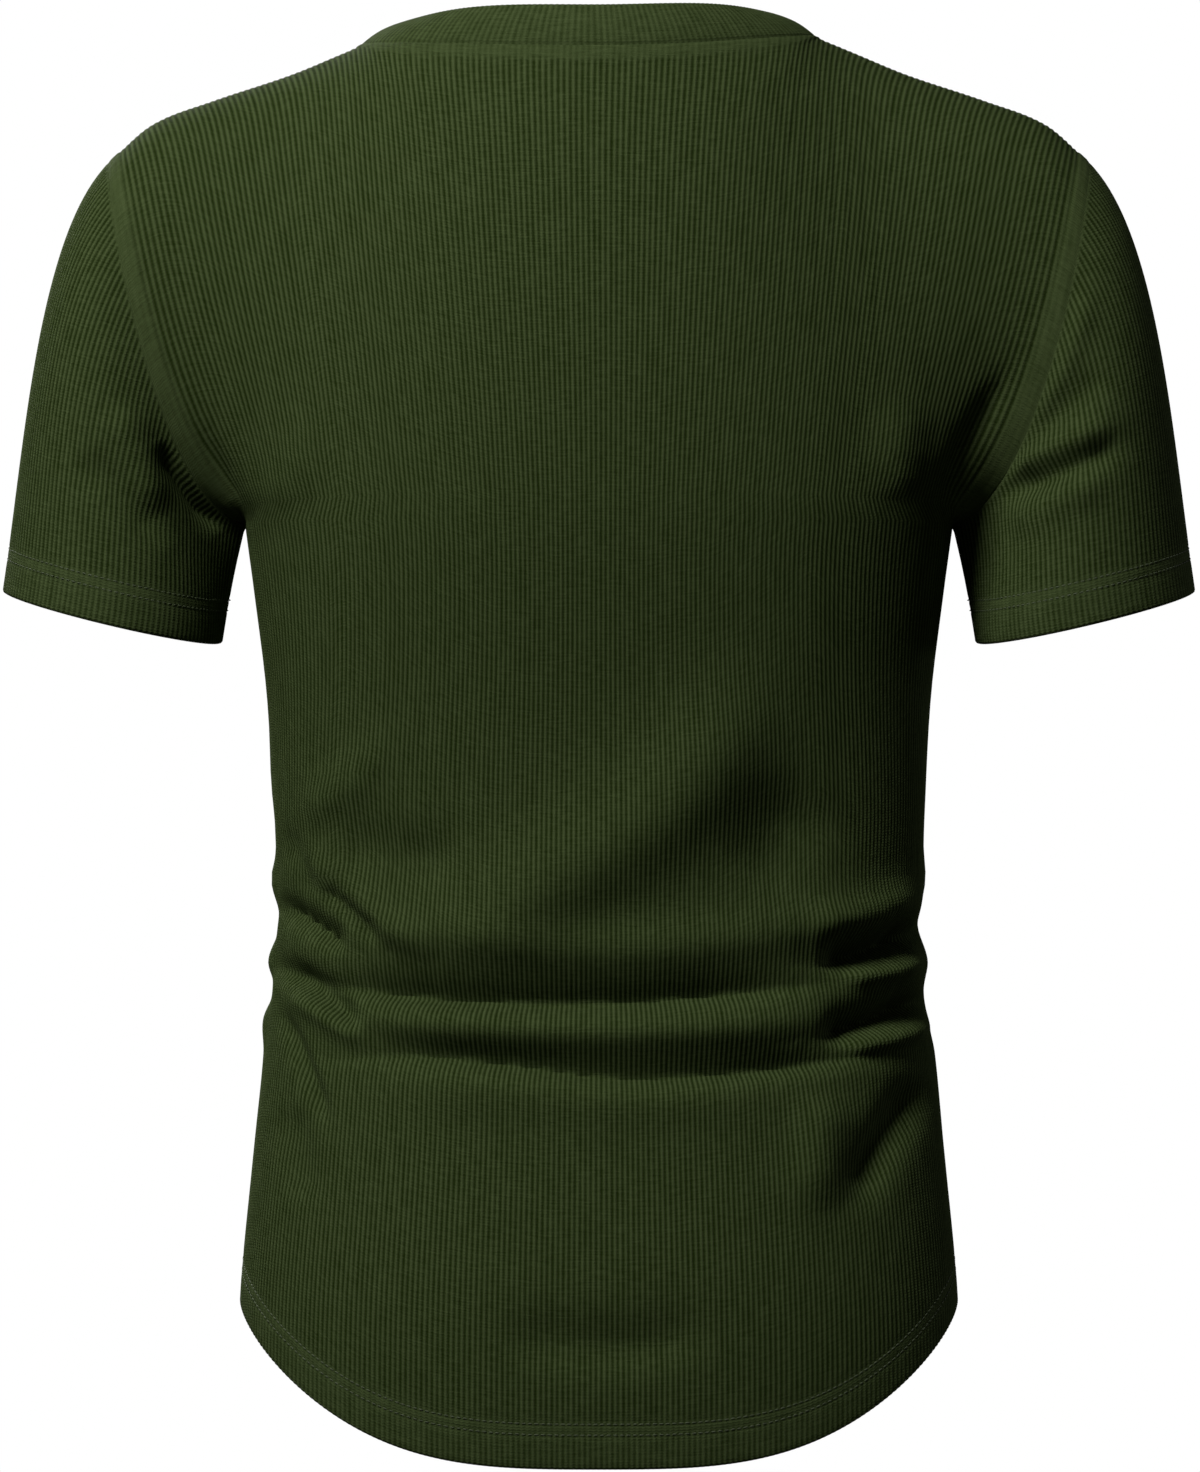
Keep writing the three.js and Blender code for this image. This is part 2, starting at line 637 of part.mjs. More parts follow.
// A sleeve. The right one is worked out on the left arm and turned over in x.
function sleevePanel(hand) {
  const { folded, normal } = SLEEVES[hand];
  const sign = hand === "left" ? 1 : -1;
  const shareGap = (s) => {
    const underarm = 1 - smooth(Math.min(s, 1 - s) / 0.12);
    const length = folded(s, 0).distanceTo(folded(s, 1));
    return (SEAM_HALF_GAP + UNDERARM_EASE * underarm) / length;
  };
  const hemShare = (s) => 1 - HEM_DEPTH / folded(s, 0).distanceTo(folded(s, 1));
  const at = (s, w) => Math.max(w, shareGap(s));
  const normalAt = (s, w) => {
    if (w < 0.01) return onArmhole(armholeNormals[hand], s);
    return normal(s, Math.min(w, 0.99));
  };
  const ring = (ribs) => {
    const turns = [0];
    for (let i = 1; i < armholeShares.length; i += 1) {
      const [from, to] = [armholeShares[i - 1], armholeShares[i]];
      turns.push(...spread(2 * Math.max(1, Math.round((to - from) * ribs)), from, to).slice(1));
    }
    return sign > 0 ? turns.reverse() : turns;
  };
  const outerRing = ring(SLEEVE_RIBS);
  const innerRing = ring(SLEEVE_INNER_RIBS);
  const place = (point) => point.setX(point.x * sign);
  const shares = [...SLEEVE_SHARES].reverse();
  const layer = (shareRing, rowsOf, lift) => ({
    rows: rowsOf.map(({ w, thick }) =>
      shareRing.map((s, i) => {
        const share = at(s, w(s));
        return place(folded(s, share).addScaledVector(normalAt(s, share), lift(share, i, thick)));
      }),
    ),
    levels: rowsOf.map((_, i) => i),
    marks: shareRing.map((s) => -sign * s),
  });
  const outer = layer(
    outerRing,
    shares.map((w) => ({ w: () => w })),
    (share, i) => (i % 2 === 1 && share > 0.01 ? RIB_RISE : 0),
  );
  const innerRows = [
    { w: () => 1, thick: HEM_CLOTH },
    { w: hemShare, thick: HEM_CLOTH },
    { w: (s) => hemShare(s) - 0.004, thick: CLOTH },
    ...shares.filter((w) => w < 0.8).map((w) => ({ w: () => w, thick: CLOTH })),
  ];
  const inner = layer(innerRing, innerRows, (share, i, thick) => -thick);
  return wall(outer, inner, true);
}

// Round the neckline, from the front centre by the wearer's right, the back and the left.
function neckPoint(turn) {
  const quarter = turn * 4;
  if (quarter < 1) return topEdge("front", -quarter * NECK_SHARE);
  if (quarter < 2) return topEdge("back", -(2 - quarter) * NECK_SHARE);
  if (quarter < 3) return topEdge("back", (quarter - 2) * NECK_SHARE);
  return topEdge("front", (4 - quarter) * NECK_SHARE);
}
const NECK_STEPS = 96;
const neckLength = spread(NECK_STEPS)
  .slice(1)
  .reduce((sum, turn) => sum + neckPoint(turn % 1).distanceTo(neckPoint(turn - 1 / NECK_STEPS)), 0);
function bandSlope(turn) {
  const sideways = Math.abs(Math.sin(2 * Math.PI * turn)) ** BAND.leanPower;
  const point = neckPoint(((turn % 1) + 1) % 1);
  const inward = new THREE.Vector3(-point.x + 4, -point.y + 2, 0).normalize();
  const lean = BAND.lean + BAND.leanSide * sideways;
  return inward.multiplyScalar(lean).add(new THREE.Vector3(0, 0, Math.sqrt(1 - lean * lean)));
}

// The neckband: one strip whose ends cross at the front, the left end over the right.
function neckBand() {
  const half = PLACKET.half / neckLength;
  const from = -half;
  const to = 1 + half;
  const wrap = (t) => ((t % 1) + 1) % 1;
  const low = (t) => neckPoint(wrap(t)).clone();
  const surface = (t, w) => low(t).addScaledVector(bandSlope(t), BAND.width * w + BAND.gap);
  const outward = (t, w) => normalOf(surface, t, w, STEPS.band, -1);
  const sink = (t) => BAND.underlap * (1 - smooth((t - half) / BAND.settle));
  const bulge = (w) => BAND.bulge * Math.sin(Math.PI * Math.min(1, Math.max(0, w)));
  const point = (t, w, lift) =>
    surface(t, w).addScaledVector(outward(t, w), lift - sink(t) + bulge(w));
  const layer = (cols, lift) => {
    const levels = [0, 0.5, 1];
    const turns = [to, ...spread(cols, 1, 0), from];
    const rows = levels.map((w) => turns.map((t, i) => point(t, w, lift(w, i, cols))));
    return { rows, levels, marks: turns.map((t) => -t) };
  };
  const ribLift = (w, i, cols) => (i % 2 === 0 && i > 0 && i <= cols && w > 0 ? RIB_RISE : 0);
  const innerCols = BODY_INNER_COLS * 2 * NECK_SHARE;
  return wall(layer(2 * BAND_RIBS, ribLift), layer(innerCols, () => -CLOTH), false);
}

// The rows of the front at share u, as points and normals, from the neckline down.
function frontLadder(u) {
  const rows = panelLevels("front", u).map((level) => Math.min(level, levelTop - 0.01));
  return rows.reverse().map((level) => ({
    point: BODY.front.folded(u, level),
    normal: BODY.front.normal(u, Math.min(level, levelTop - 2)),
  }));
}
// A point of the front at share u, told by how far below the neckline, between its two next rows.
function onLadder(u, drop) {
  const ladder = frontLadder(u);
  const z = NECKLINE.front.z - drop;
  let i = 0;
  while (i < ladder.length - 2 && ladder[i + 1].point.z > z) i += 1;
  const [a, b] = [ladder[i], ladder[i + 1]];
  const share = (a.point.z - z) / (a.point.z - b.point.z);
  return {
    point: a.point.clone().lerp(b.point, share),
    normal: a.normal.clone().lerp(b.normal, share).normalize(),
  };
}
// The same, at x from the centre line.
function frontAt(x, drop) {
  const trial = PLACKET.half / HALF_SPAN;
  const width = onLadder(trial, drop).point.x / trial;
  return onLadder(x / width, drop);
}
// A strip that lies on the front, at a lift from it, with a row at each row of the front.
function placketStrip(lift, thick, from, length) {
  const top = NECKLINE.front.z;
  const between = frontLadder(0)
    .map(({ point }) => top - point.z)
    .filter((drop) => drop > from + 2 && drop < from + length - 2);
  const levels = [from, ...between, from + length].reverse();
  const marks = spread(6, -PLACKET.half, PLACKET.half);
  const layer = (out) => ({
    rows: levels.map((drop) =>
      marks.map((x) => {
        const { point, normal } = frontAt(x, drop);
        return point.addScaledVector(normal, out);
      }),
    ),
    levels: levels.map((drop) => -drop),
    marks,
  });
  return wall(layer(lift + thick), layer(lift), false);
}

// The front is slit under the upper strip.
function frontWithSlit(panel) {
  const slit = new THREE.BoxGeometry(PLACKET.slit, 80, PLACKET.slitLength + 40);
  slit.translate(0, NECKLINE.front.y - 15, NECKLINE.front.z - PLACKET.slitLength / 2 + 20);
  return geometryFrom(solidOf(geometryOf(panel)).subtract(solidOf(slit)));
}

// A four-hole shirt button with a rolled rim, its axis along +Z and its back at z = 0.
function buttonGeometry() {
  const { radius, thick, rim, hole, holeRing } = BUTTON;
  const profile = [
    [0, 0],
    [radius - 0.6, 0],
    [radius, 0.7],
    [radius, thick - 0.4],
    [radius - 0.5, thick],
    [radius - rim, thick],
    [radius - rim - 0.7, thick - 0.7],
    [0, thick - 0.7],
  ].map(([x, y]) => new THREE.Vector2(x, y));
  const disc = new THREE.LatheGeometry(profile, 16);
  disc.rotateX(Math.PI / 2);
  let solid = solidOf(disc);
  for (let i = 0; i < 4; i += 1) {
    const angle = ((i + 0.5) * Math.PI) / 2;
    const bit = new THREE.CylinderGeometry(hole, hole, 3 * thick, 6);
    bit.rotateX(Math.PI / 2);
    bit.translate(holeRing * Math.cos(angle), holeRing * Math.sin(angle), thick / 2);
    solid = solid.subtract(solidOf(bit));
  }
  return geometryFrom(solid);
}

const cloth = () => new THREE.MeshStandardMaterial({ color: GREEN, roughness: 0.95, metalness: 0 });
const shirt = new THREE.Group();
function addCloth(name, geometry) {
  const mesh = new THREE.Mesh(geometry, cloth());
  mesh.name = name;
  shirt.add(mesh);
}

addCloth("back_panel", geometryOf(bodyPanel("back")));
addCloth("front_panel", frontWithSlit(bodyPanel("front")));
addCloth("sleeve_left", geometryOf(sleevePanel("left")));
addCloth("sleeve_right", geometryOf(sleevePanel("right")));
addCloth("neckband", geometryOf(neckBand()));
const upperLift = RIB_RISE + PLACKET.gap;
addCloth("placket_upper", geometryOf(placketStrip(upperLift, PLACKET.upper, 0.4, PLACKET.length)));
const underLift = -CLOTH - PLACKET.gap - PLACKET.under;
addCloth("placket_under", geometryOf(placketStrip(underLift, PLACKET.under, 2, PLACKET.length - 4)));

BUTTON.drops.forEach((drop, i) => {
  const { point, normal } = frontAt(0, drop);
  const lift = upperLift + PLACKET.upper + 0.3;
  const mesh = new THREE.Mesh(
    buttonGeometry(),
    new THREE.MeshStandardMaterial({ color: BUTTON_GREEN, roughness: 0.4, metalness: 0 }),
  );
  mesh.name = `button_${i + 1}`;
  mesh.position.copy(point.addScaledVector(normal, lift));
  mesh.quaternion.setFromUnitVectors(new THREE.Vector3(0, 0, 1), normal);
  shirt.add(mesh);
});

export default shirt;
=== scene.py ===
"""A short-sleeved henley shirt in olive rib knit, filled out as if worn, with nobody in it.

The shirt's own sizes are in millimetres: x to the wearer's left, y to the back, z up. Each cut piece
is a closed shell of cloth with its ribs, seams, hems and creases, on the form of its solid.
"""

import math

import bmesh
import bpy
import numpy as np
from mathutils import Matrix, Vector


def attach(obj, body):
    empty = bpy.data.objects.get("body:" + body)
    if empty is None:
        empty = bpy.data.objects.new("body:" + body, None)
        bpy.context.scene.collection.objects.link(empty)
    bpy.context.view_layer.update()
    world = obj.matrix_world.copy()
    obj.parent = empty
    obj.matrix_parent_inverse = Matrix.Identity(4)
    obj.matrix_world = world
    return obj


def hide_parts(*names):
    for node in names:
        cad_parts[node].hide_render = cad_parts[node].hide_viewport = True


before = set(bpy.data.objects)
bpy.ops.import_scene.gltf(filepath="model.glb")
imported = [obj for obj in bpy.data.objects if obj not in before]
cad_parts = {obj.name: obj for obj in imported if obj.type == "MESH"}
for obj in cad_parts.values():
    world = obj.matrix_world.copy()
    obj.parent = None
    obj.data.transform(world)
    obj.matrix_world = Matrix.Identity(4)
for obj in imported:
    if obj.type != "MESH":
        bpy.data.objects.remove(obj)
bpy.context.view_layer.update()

MM = 0.001
GREEK_PI = math.pi

# The cloth.
CLOTH = 1.6
HEM_CLOTH = 2.6
HEM_ROUND = 1.25
RIB_RISE = 0.44
RIB_COLUMNS = 4
RIB_PROFILE = (1.0, 0.62, 0.0, 0.62)
BODY_RIBS = 176
SLEEVE_RIBS = 126
BAND_RIBS = 188
RIB_MEAN = 0.56
INNER_EVERY = 8
LEAST_COLUMN = 0.25
SLIP_SPAN = 150
SEAM_DENT = 0.4
SEAM_BLEND = 5
ARMHOLE_BAND = 0.55
AT_SEAM = 0.35
NEEDLE_LINES = (16.0, 21.0)
HEM_OFFSETS = (0, 0.4, 1.3, 4, 8, 12, 14.6, 16, 17.4, 19.6, 21, 22.4)

# The cut.
ARMPIT_Z = -227
YOKE = 220
NECK_SHARE = 0.5
NECK_UPRIGHT = 0.5
HEM_CURVE = 1.68
HOOP_POWER = 2.3
SIDE_SPAN = 250
TORSO_Z = (-700, -600, -530, -470, -415, -370, -310, -260, -227)
TORSO = {
    "half": (170, 170, 164, 157.5, 153, 154, 157, 163, 167.5),
    "back": (103, 105, 97, 87, 82, 83, 88, 95, 99),
    "front": (110, 111, 106, 100, 98, 102, 110, 116, 118),
}
SLOPE_X = (96, 110, 122, 146, 183, 212, 232)
SLOPE_Z = (7, 1.5, -3.5, -13.5, -26, -37.5, -55)
HEAD_X = 232
NECK_POINT = {"left": 114, "right": 104}
NECK_Y = -3
NECKLINE = {"back": (68, -7, 2), "front": (-84, -80, 1.35)}
PULL = {
    "back": ((0, 14, 215), (122, 182, 22), (0, -95, 175), (0, -200, 14)),
    "front": ((0, -12, 190), (84, -170, 22), (0, 60, 125), (0, 196, 14)),
}
ARMHOLE_BIAS = 6
EASE_ACROSS = 0.3
EASE_TAPS = np.hanning(17)[1:-1]

# The sleeve.
CUFF = {"x": 231, "z": -271, "half": 53, "depth": 57, "back_drop": 4.2, "round": 350}
CUFF_OUTWARD = np.array((0.972, 0, 0.234))
DOWN_ARM = np.array((0.15, 0, -0.985))
HEAD_PULL = np.array((101, 0, -98))
HEAD_ARRIVE = 205
UNDERARM_PULL = np.array((12, 0, -54))
UNDERARM_ARRIVE = 54
SLEEVE_SWELL = 22
SLEEVE_GRAIN = np.array((0.33, 0, -0.944))

# The panel rows: height at the side seam, height at the centre, and steps up to the next row.
BACK_ROWS = (
    (-572.6, -640.6, 6),
    (-556, -602, 7),
    (-532, -550, 5),
    (-505, -512, 7),
    (-484, -490, 7),
    (-471, -478, 8),
    (-457, -461, 9),
    (-441, -444, 9),
    (-423, -427, 8),
    (-398, -400, 7),
    (-355, -355, 6),
    (-290, -290, 5),
    (-227, -227, 0),
)
FRONT_ROWS = (
    (-572.6, -627.6, 4),
    (-545, -575, 7),
    (-505, -515, 8),
    (-478, -484, 8),
    (-457, -462, 8),
    (-438, -442, 9),
    (-405, -408, 9),
    (-330, -330, 8),
    (-227, -227, 0),
)
HEM_LOW = {"back": (-595, -663), "front": (-595, -650)}
UPPER_SHARES = np.concatenate([np.linspace(0, 0.9, 20)[1:], (0.93, 0.95, 0.965, 0.977, 0.986, 0.992, 0.997, 1)])

CREASED = -8.4
# Folds: depth, width on either side of the line, and the line as x and z, seen on that face.
BACK_FOLDS = (
    (-10.5, 10, 4, (150, -438), (100, -447), (20, -451), (-46, -448), (-118, -441)),
    (4.5, 8, 8, (140, -454), (80, -461), (0, -464), (-70, -461), (-124, -455)),
    (-8.5, 9, 4, (126, -477), (84, -475), (30, -480), (-10, -485), (-90, -480), (-152, -471)),
    (3.0, 8, 14, (120, -490), (40, -491), (-20, -495), (-90, -492)),
    (3.5, 11, 10, (142, -404), (60, -420), (0, -426), (-90, -416), (-148, -400)),
    (4.5, 6, 7, (152, -378), (125, -395), (98, -416), (70, -429)),
    (-6.5, 6, 4, (134, -395), (120, -405), (98, -424)),
    (-8.5, 7, 4, (154, -405), (136, -416), (116, -427)),
    (-8.0, 7, 4, (154, -434), (132, -447), (108, -464)),
    (3.0, 6, 5, (148, -446), (124, -460), (104, -471)),
    (-4.0, 4.5, 3.5, (151, -452), (138, -478), (124, -509)),
    (-3.0, 9, 8, (146, -498), (139, -520), (136, -545)),
    (3.5, 7, 7, (142, -364), (122, -354), (96, -334)),
    (-4.5, 6, 5, (149, -372), (140, -386), (131, -403)),
    (-14.0, 9, 4.5, (-100, -434), (-130, -428), (-158, -418)),
    (5.5, 4.5, 4.5, (-112, -438), (-134, -438), (-154, -432)),
    (-13.5, 8.5, 4.5, (-99, -467), (-130, -460), (-160, -450)),
    (5.0, 4.5, 4.5, (-112, -473), (-136, -469), (-158, -463)),
    (5.0, 8, 8, (-92, -416), (-124, -411), (-154, -400)),
    (-8.0, 10, 8, (-154, -486), (-136, -512), (-116, -544)),
    (4.5, 12, 12, (-108, -490), (-102, -516), (-98, -548)),
    (9.0, 25, 22, (-84, -296), (-30, -362), (26, -398), (86, -428)),
    (-5.0, 20, 20, (-98, -350), (-84, -376), (-66, -400)),
    (-4.5, 14, 12, (126, -372), (92, -384), (58, -384)),
    (-3.5, 9, 7, (190, -184), (178, -206), (168, -230)),
    (2.6, 12, 11, (156, -226), (142, -206), (132, -184)),
    (-4.0, 6.5, 6.5, (-193, -156), (-172, -192), (-160, -226)),
    (4.0, 12, 12, (-146, -214), (-140, -196), (-136, -176)),
    (-5.0, 13, 8, (50, -600), (0, -608), (-56, -602)),
)
FRONT_FOLDS = (
    (-10.0, 12, 5, (150, -440), (80, -447), (10, -449), (-70, -446), (-148, -438)),
    (4.5, 8, 8, (140, -456), (60, -464), (0, -466), (-90, -461), (-140, -455)),
    (-8.5, 11, 5.5, (152, -474), (60, -482), (-10, -487), (-90, -479), (-148, -470)),
    (3.0, 9, 14, (110, -492), (10, -498), (-100, -490)),
    (4.0, 12, 11, (146, -408), (60, -422), (0, -427), (-90, -417), (-148, -404)),
    (-8.0, 7, 4.5, (154, -408), (134, -419), (112, -430)),
    (-7.0, 7, 4.5, (153, -444), (132, -455), (108, -468)),
    (-8.5, 7, 4.5, (-154, -412), (-136, -423), (-112, -433)),
    (-8.0, 7, 4.5, (-154, -446), (-134, -458), (-108, -470)),
    (-5.0, 8, 7, (150, -490), (130, -514), (112, -540)),
    (-5.0, 8, 7, (-150, -488), (-132, -516), (-110, -546)),
    (6.5, 24, 24, (70, -280), (10, -346), (-80, -410)),
    (-4.0, 16, 16, (104, -366), (78, -388), (48, -404)),
    (4.0, 9, 9, (-104, -338), (-128, -362), (-150, -380)),
    (-4.0, 7, 6, (-110, -352), (-128, -374), (-146, -392)),
    (-6.5, 11, 9, (186, -178), (175, -202), (166, -230)),
    (-6.5, 11, 9, (-186, -178), (-175, -202), (-166, -230)),
    (4.0, 10, 10, (158, -216), (148, -198), (140, -180)),
    (4.0, 10, 10, (-156, -216), (-148, -198), (-142, -180)),
    (-3.0, 16, 8, (50, -590), (4, -598), (-40, -592)),
)
SLEEVE_FOLDS = {
    ("left", 1): (
        (-9.0, 5, 5, (206, -188), (193, -208), (177, -231)),
        (3.5, 8, 8, (228, -170), (215, -196), (206, -226)),
        (-3.0, 8, 7, (246, -194), (224, -214), (200, -240)),
    ),
    ("left", -1): (
        (-5.0, 9, 7, (236, -180), (212, -200), (190, -218)),
        (3.5, 8, 8, (244, -196), (222, -216), (198, -232)),
    ),
    ("right", 1): (
        (4.0, 10, 9, (-228, -112), (-214, -150), (-192, -188)),
        (-2.5, 8, 6, (-238, -158), (-220, -172), (-200, -186)),
        (3.5, 6, 6, (-244, -178), (-217, -191), (-186, -205)),
        (-4.5, 6, 5.5, (-248, -190), (-217, -204), (-186, -215)),
        (3.0, 8, 8, (-240, -206), (-214, -218), (-190, -232)),
    ),
    ("right", -1): (
        (-5.0, 8, 7, (-236, -174), (-210, -194), (-188, -214)),
        (3.5, 8, 8, (-244, -192), (-220, -212), (-196, -230)),
    ),
}
SIDE_Z = (-520, -478, -462, -447, -434, -416, -396, -378, -350, -320)
SIDE_OUT = {
    "left": (0, 0.6, 2.4, -1.8, 2.6, -2.4, 2.2, -1.5, 0.4, 0),
    "right": (0, 0.8, -1, -1.5, 1.6, -2.2, 1.6, 0, 0, 0),
}

# The opening, its buttons and the neckband.
PLACKET = {"half": 14, "length": 122, "upper": 1.9, "under": 1.4, "gap": 0.35, "ribs": 10}
BUTTON = {"radius": 5.6, "thick": 2.4, "rim": 1.1, "hole": 0.8, "ring": 1.7, "drops": (16, 53, 90)}
BAND = {
    "width": 23.5,
    "cloth": 2.6,
    "underlap": 2.5,
    "settle": 0.16,
    "gap": 0.45,
    "bulge": 1.6,
    "lean": 0.5,
    "lean_side": 0.38,
    "lean_power": 3,
    "calm": 0.5,
}
STITCH = {"pitch": 3.0, "length": 2.3, "radius": 0.36}

# The lamps: how far from the shirt's middle, degrees up, degrees round from behind, size, watts.
LAMPS = (
    ("key_light", 3.0, 42, 36, 1.0, 84),
    ("front_light", 3.0, 30, 148, 1.2, 60),
    ("side_light", 3.0, 10, -115, 1.2, 8),
)


def smooth(t):
    held = np.clip(t, 0, 1)
    return held * held * (3 - 2 * held)


def bell(distance, width):
    return np.exp(-((distance / width) ** 2))


def unit(vectors):
    return vectors / np.maximum(np.linalg.norm(vectors, axis=-1, keepdims=True), 1e-9)


def drawn_through(places, values):
    """A smooth curve through a few table values, to be read at any place."""
    places, values = np.array(places, float), np.array(values, float)
    count = len(places)
    low, high = np.maximum(np.arange(count) - 1, 0), np.minimum(np.arange(count) + 1, count - 1)
    slopes = (values[high] - values[low]) / (places[high] - places[low])

    def read(at):
        at = np.asarray(at, float)
        i = np.searchsorted(places[1:-1], at)
        step = places[i + 1] - places[i]
        t = np.clip((at - places[i]) / step, -0.5, 1.5)
        hold = t * t * (3 - 2 * t)
        lean = t * (1 - t) * step
        straight = values[i] * (1 - hold) + values[i + 1] * hold
        return straight + lean * (slopes[i] * (1 - t) - slopes[i + 1] * t)

    return read


def cubic(start, leave, end, arrive, t):
    t = np.asarray(t, float)[..., None]
    t2, t3 = t * t, t * t * t
    return (
        start * (2 * t3 - 3 * t2 + 1)
        + leave * (t3 - 2 * t2 + t)
        + end * (3 * t2 - 2 * t3)
        + arrive * (t3 - t2)
    )


def mixed(a, b, share):
    share = np.asarray(share, float)[..., None]
    return np.asarray(a, float) * (1 - share) + np.asarray(b, float) * share


torso_half = drawn_through(TORSO_Z, TORSO["half"])
torso_depth = {face: drawn_through(TORSO_Z, TORSO[face]) for face in ("back", "front")}
shoulder_slope = drawn_through(SLOPE_X, SLOPE_Z)
side_out = {hand: drawn_through(SIDE_Z, SIDE_OUT[hand]) for hand in ("left", "right")}

# A quarter of the torso's level section, read by share of its length.
hoop_angle = np.linspace(0, GREEK_PI / 2, 4001)
hoop_across = np.sin(hoop_angle) ** (2 / HOOP_POWER)
hoop_deep = np.maximum(np.cos(hoop_angle), 0) ** (2 / HOOP_POWER)
hoop_run = np.concatenate([[0], np.cumsum(np.hypot(160 * np.diff(hoop_across), 95 * np.diff(hoop_deep)))])
hoop_run = hoop_run / hoop_run[-1]


def hoop(face, u, z):
    share = np.minimum(np.abs(u), 1)
    x = np.sign(u) * torso_half(z) * np.interp(share, hoop_run, hoop_across)
    y = torso_depth[face](z) * np.interp(share, hoop_run, hoop_deep)
    return np.stack(np.broadcast_arrays(x, y if face == "back" else -y, z), -1)


def seam_table(hand):
    x = np.linspace(NECK_POINT[hand], HEAD_X, 161)
    y = NECK_Y * (1 - (x - x[0]) / (x[-1] - x[0]))
    run = np.concatenate([[0], np.cumsum(np.hypot(np.hypot(np.diff(x), np.diff(y)), np.diff(shoulder_slope(x))))])
    return run / run[-1], x


shoulder_seam = {hand: seam_table(hand) for hand in ("left", "right")}


def top_edge(face, u):
    """The neckline out to the neck point, then the shoulder seam."""
    u = np.asarray(u, float)
    sign = np.where(u < 0, -1.0, 1.0)
    far = np.abs(u)
    neck_x = np.where(u < 0, NECK_POINT["right"], NECK_POINT["left"]).astype(float)
    neck_z = shoulder_slope(neck_x)
    low_y, low_z, fall = NECKLINE[face]
    share = np.clip(far / NECK_SHARE, 0, 1)
    even = share * GREEK_PI / 2
    angle = even + (np.arcsin(share) - even) * NECK_UPRIGHT
    dip = np.maximum(np.cos(angle), 0)
    neck = np.stack(
        [sign * neck_x * np.sin(angle), NECK_Y + (low_y - NECK_Y) * dip, neck_z + (low_z - neck_z) * dip**fall],
        -1,
    )
    part = np.clip((far - NECK_SHARE) / (1 - NECK_SHARE), 0, 1)
    x = np.where(u < 0, np.interp(part, *shoulder_seam["right"]), np.interp(part, *shoulder_seam["left"]))
    seam_y = NECK_Y * (1 - (x - neck_x) / (HEAD_X - neck_x))
    seam = np.stack([sign * x, seam_y, shoulder_slope(x)], -1)
    return np.where((far <= NECK_SHARE)[..., None], neck, seam)


def yoke(face, u, w):
    """The torso above the armpits, at share w of the way to the top edge."""
    rise, rise_armhole, into_neck, over_shoulder = (np.array(v, float) for v in PULL[face])
    u, w = np.broadcast_arrays(np.asarray(u, float), np.asarray(w, float))
    far = np.minimum(np.abs(u), 1)
    leave = mixed(rise, rise_armhole, far**ARMHOLE_BIAS)
    leave[..., 0] *= np.where(u < 0, -1, 1)
    arrive = mixed(into_neck, over_shoulder, np.minimum(far / NECK_SHARE, 1) ** 2)
    return cubic(hoop(face, u, np.full(u.shape, float(ARMPIT_Z))), leave, top_edge(face, u), arrive, w)


def torso(face, u, level):
    """The torso at share u across and at a level; above the armpits the level tells the share."""
    u, level = np.broadcast_arrays(np.asarray(u, float), np.asarray(level, float))
    below = hoop(face, u, np.minimum(level, ARMPIT_Z))
    w = np.clip((level - ARMPIT_Z) / YOKE, 0, 1)
    reach = EASE_ACROSS * np.sin(GREEK_PI * w) ** 0.7 * (1 - np.minimum(np.abs(u), 1) ** 3)
    middle = (len(EASE_TAPS) - 1) / 2
    above = 0
    for i, weight in enumerate(EASE_TAPS):
        above = above + yoke(face, u + reach * (i - middle) / middle, w) * (weight / sum(EASE_TAPS))
    return np.where((level <= ARMPIT_Z)[..., None], below, above)


def rounded_route(points, steps=14):
    """A smooth route through a few points."""
    points = np.array(points, float)
    run = np.concatenate([[0], np.cumsum(np.hypot(*np.diff(points, axis=0).T))])
    at = np.linspace(0, run[-1], steps + 1)
    if len(points) == 2:
        return np.stack([np.interp(at, run, points[:, 0]), np.interp(at, run, points[:, 1])], -1)
    return np.stack([drawn_through(run, points[:, 0])(at), drawn_through(run, points[:, 1])(at)], -1)


def fold_lift(folds, x, z):
    """How far the folds lift or sink the cloth at (x, z)."""
    lift = np.zeros(x.shape)
    for depth, wide_a, wide_b, *line in folds:
        route = rounded_route(line)
        reach = 3 * max(wide_a, wide_b)
        low, high = route.min(0) - reach, route.max(0) + reach
        near = (x > low[0]) & (x < high[0]) & (z > low[1]) & (z < high[1])
        px, pz = x[near], z[near]
        best = np.full(px.shape, np.inf)
        where, side = np.zeros(px.shape), np.zeros(px.shape)
        parts = len(route) - 1
        for i in range(parts):
            (x1, z1), (x2, z2) = route[i], route[i + 1]
            dx, dz = x2 - x1, z2 - z1
            share = np.clip(((px - x1) * dx + (pz - z1) * dz) / (dx * dx + dz * dz), 0, 1)
            away = np.hypot(px - x1 - share * dx, pz - z1 - share * dz)
            closer = away < best
            best = np.where(closer, away, best)
            where = np.where(closer, (i + share) / parts, where)
            turned = (pz - z1) * dx - (px - x1) * dz
            side = np.where(closer, np.sign(turned * (dx if abs(dx) > abs(dz) else -dz)), side)
        wide = np.where(side > 0, wide_a, wide_b)
        power = 1.45 if depth <= CREASED else 2
        ends = smooth(where / 0.28) * smooth((1 - where) / 0.28)
        lift[near] += depth * (0.1 + 0.9 * ends) * np.exp(-((best / wide) ** power))
    return lift


def grid_normals(points, outward, ring=False):
    """Normals of a grid of points, from its rows and columns."""
    if ring:
        closed = np.concatenate([points[:, -2:-1], points, points[:, 1:2]], 1)
        across = (closed[:, 2:] - closed[:, :-2]) / 2
    else:
        across = np.gradient(points, axis=1)
    return unit(np.cross(across, np.gradient(points, axis=0))) * outward


def run_up(points):
    """How far along its column each point of a grid is, from the first row."""
    steps = np.linalg.norm(np.diff(points, axis=0), axis=-1)
    return np.concatenate([np.zeros((1, points.shape[1])), np.cumsum(steps, 0)])


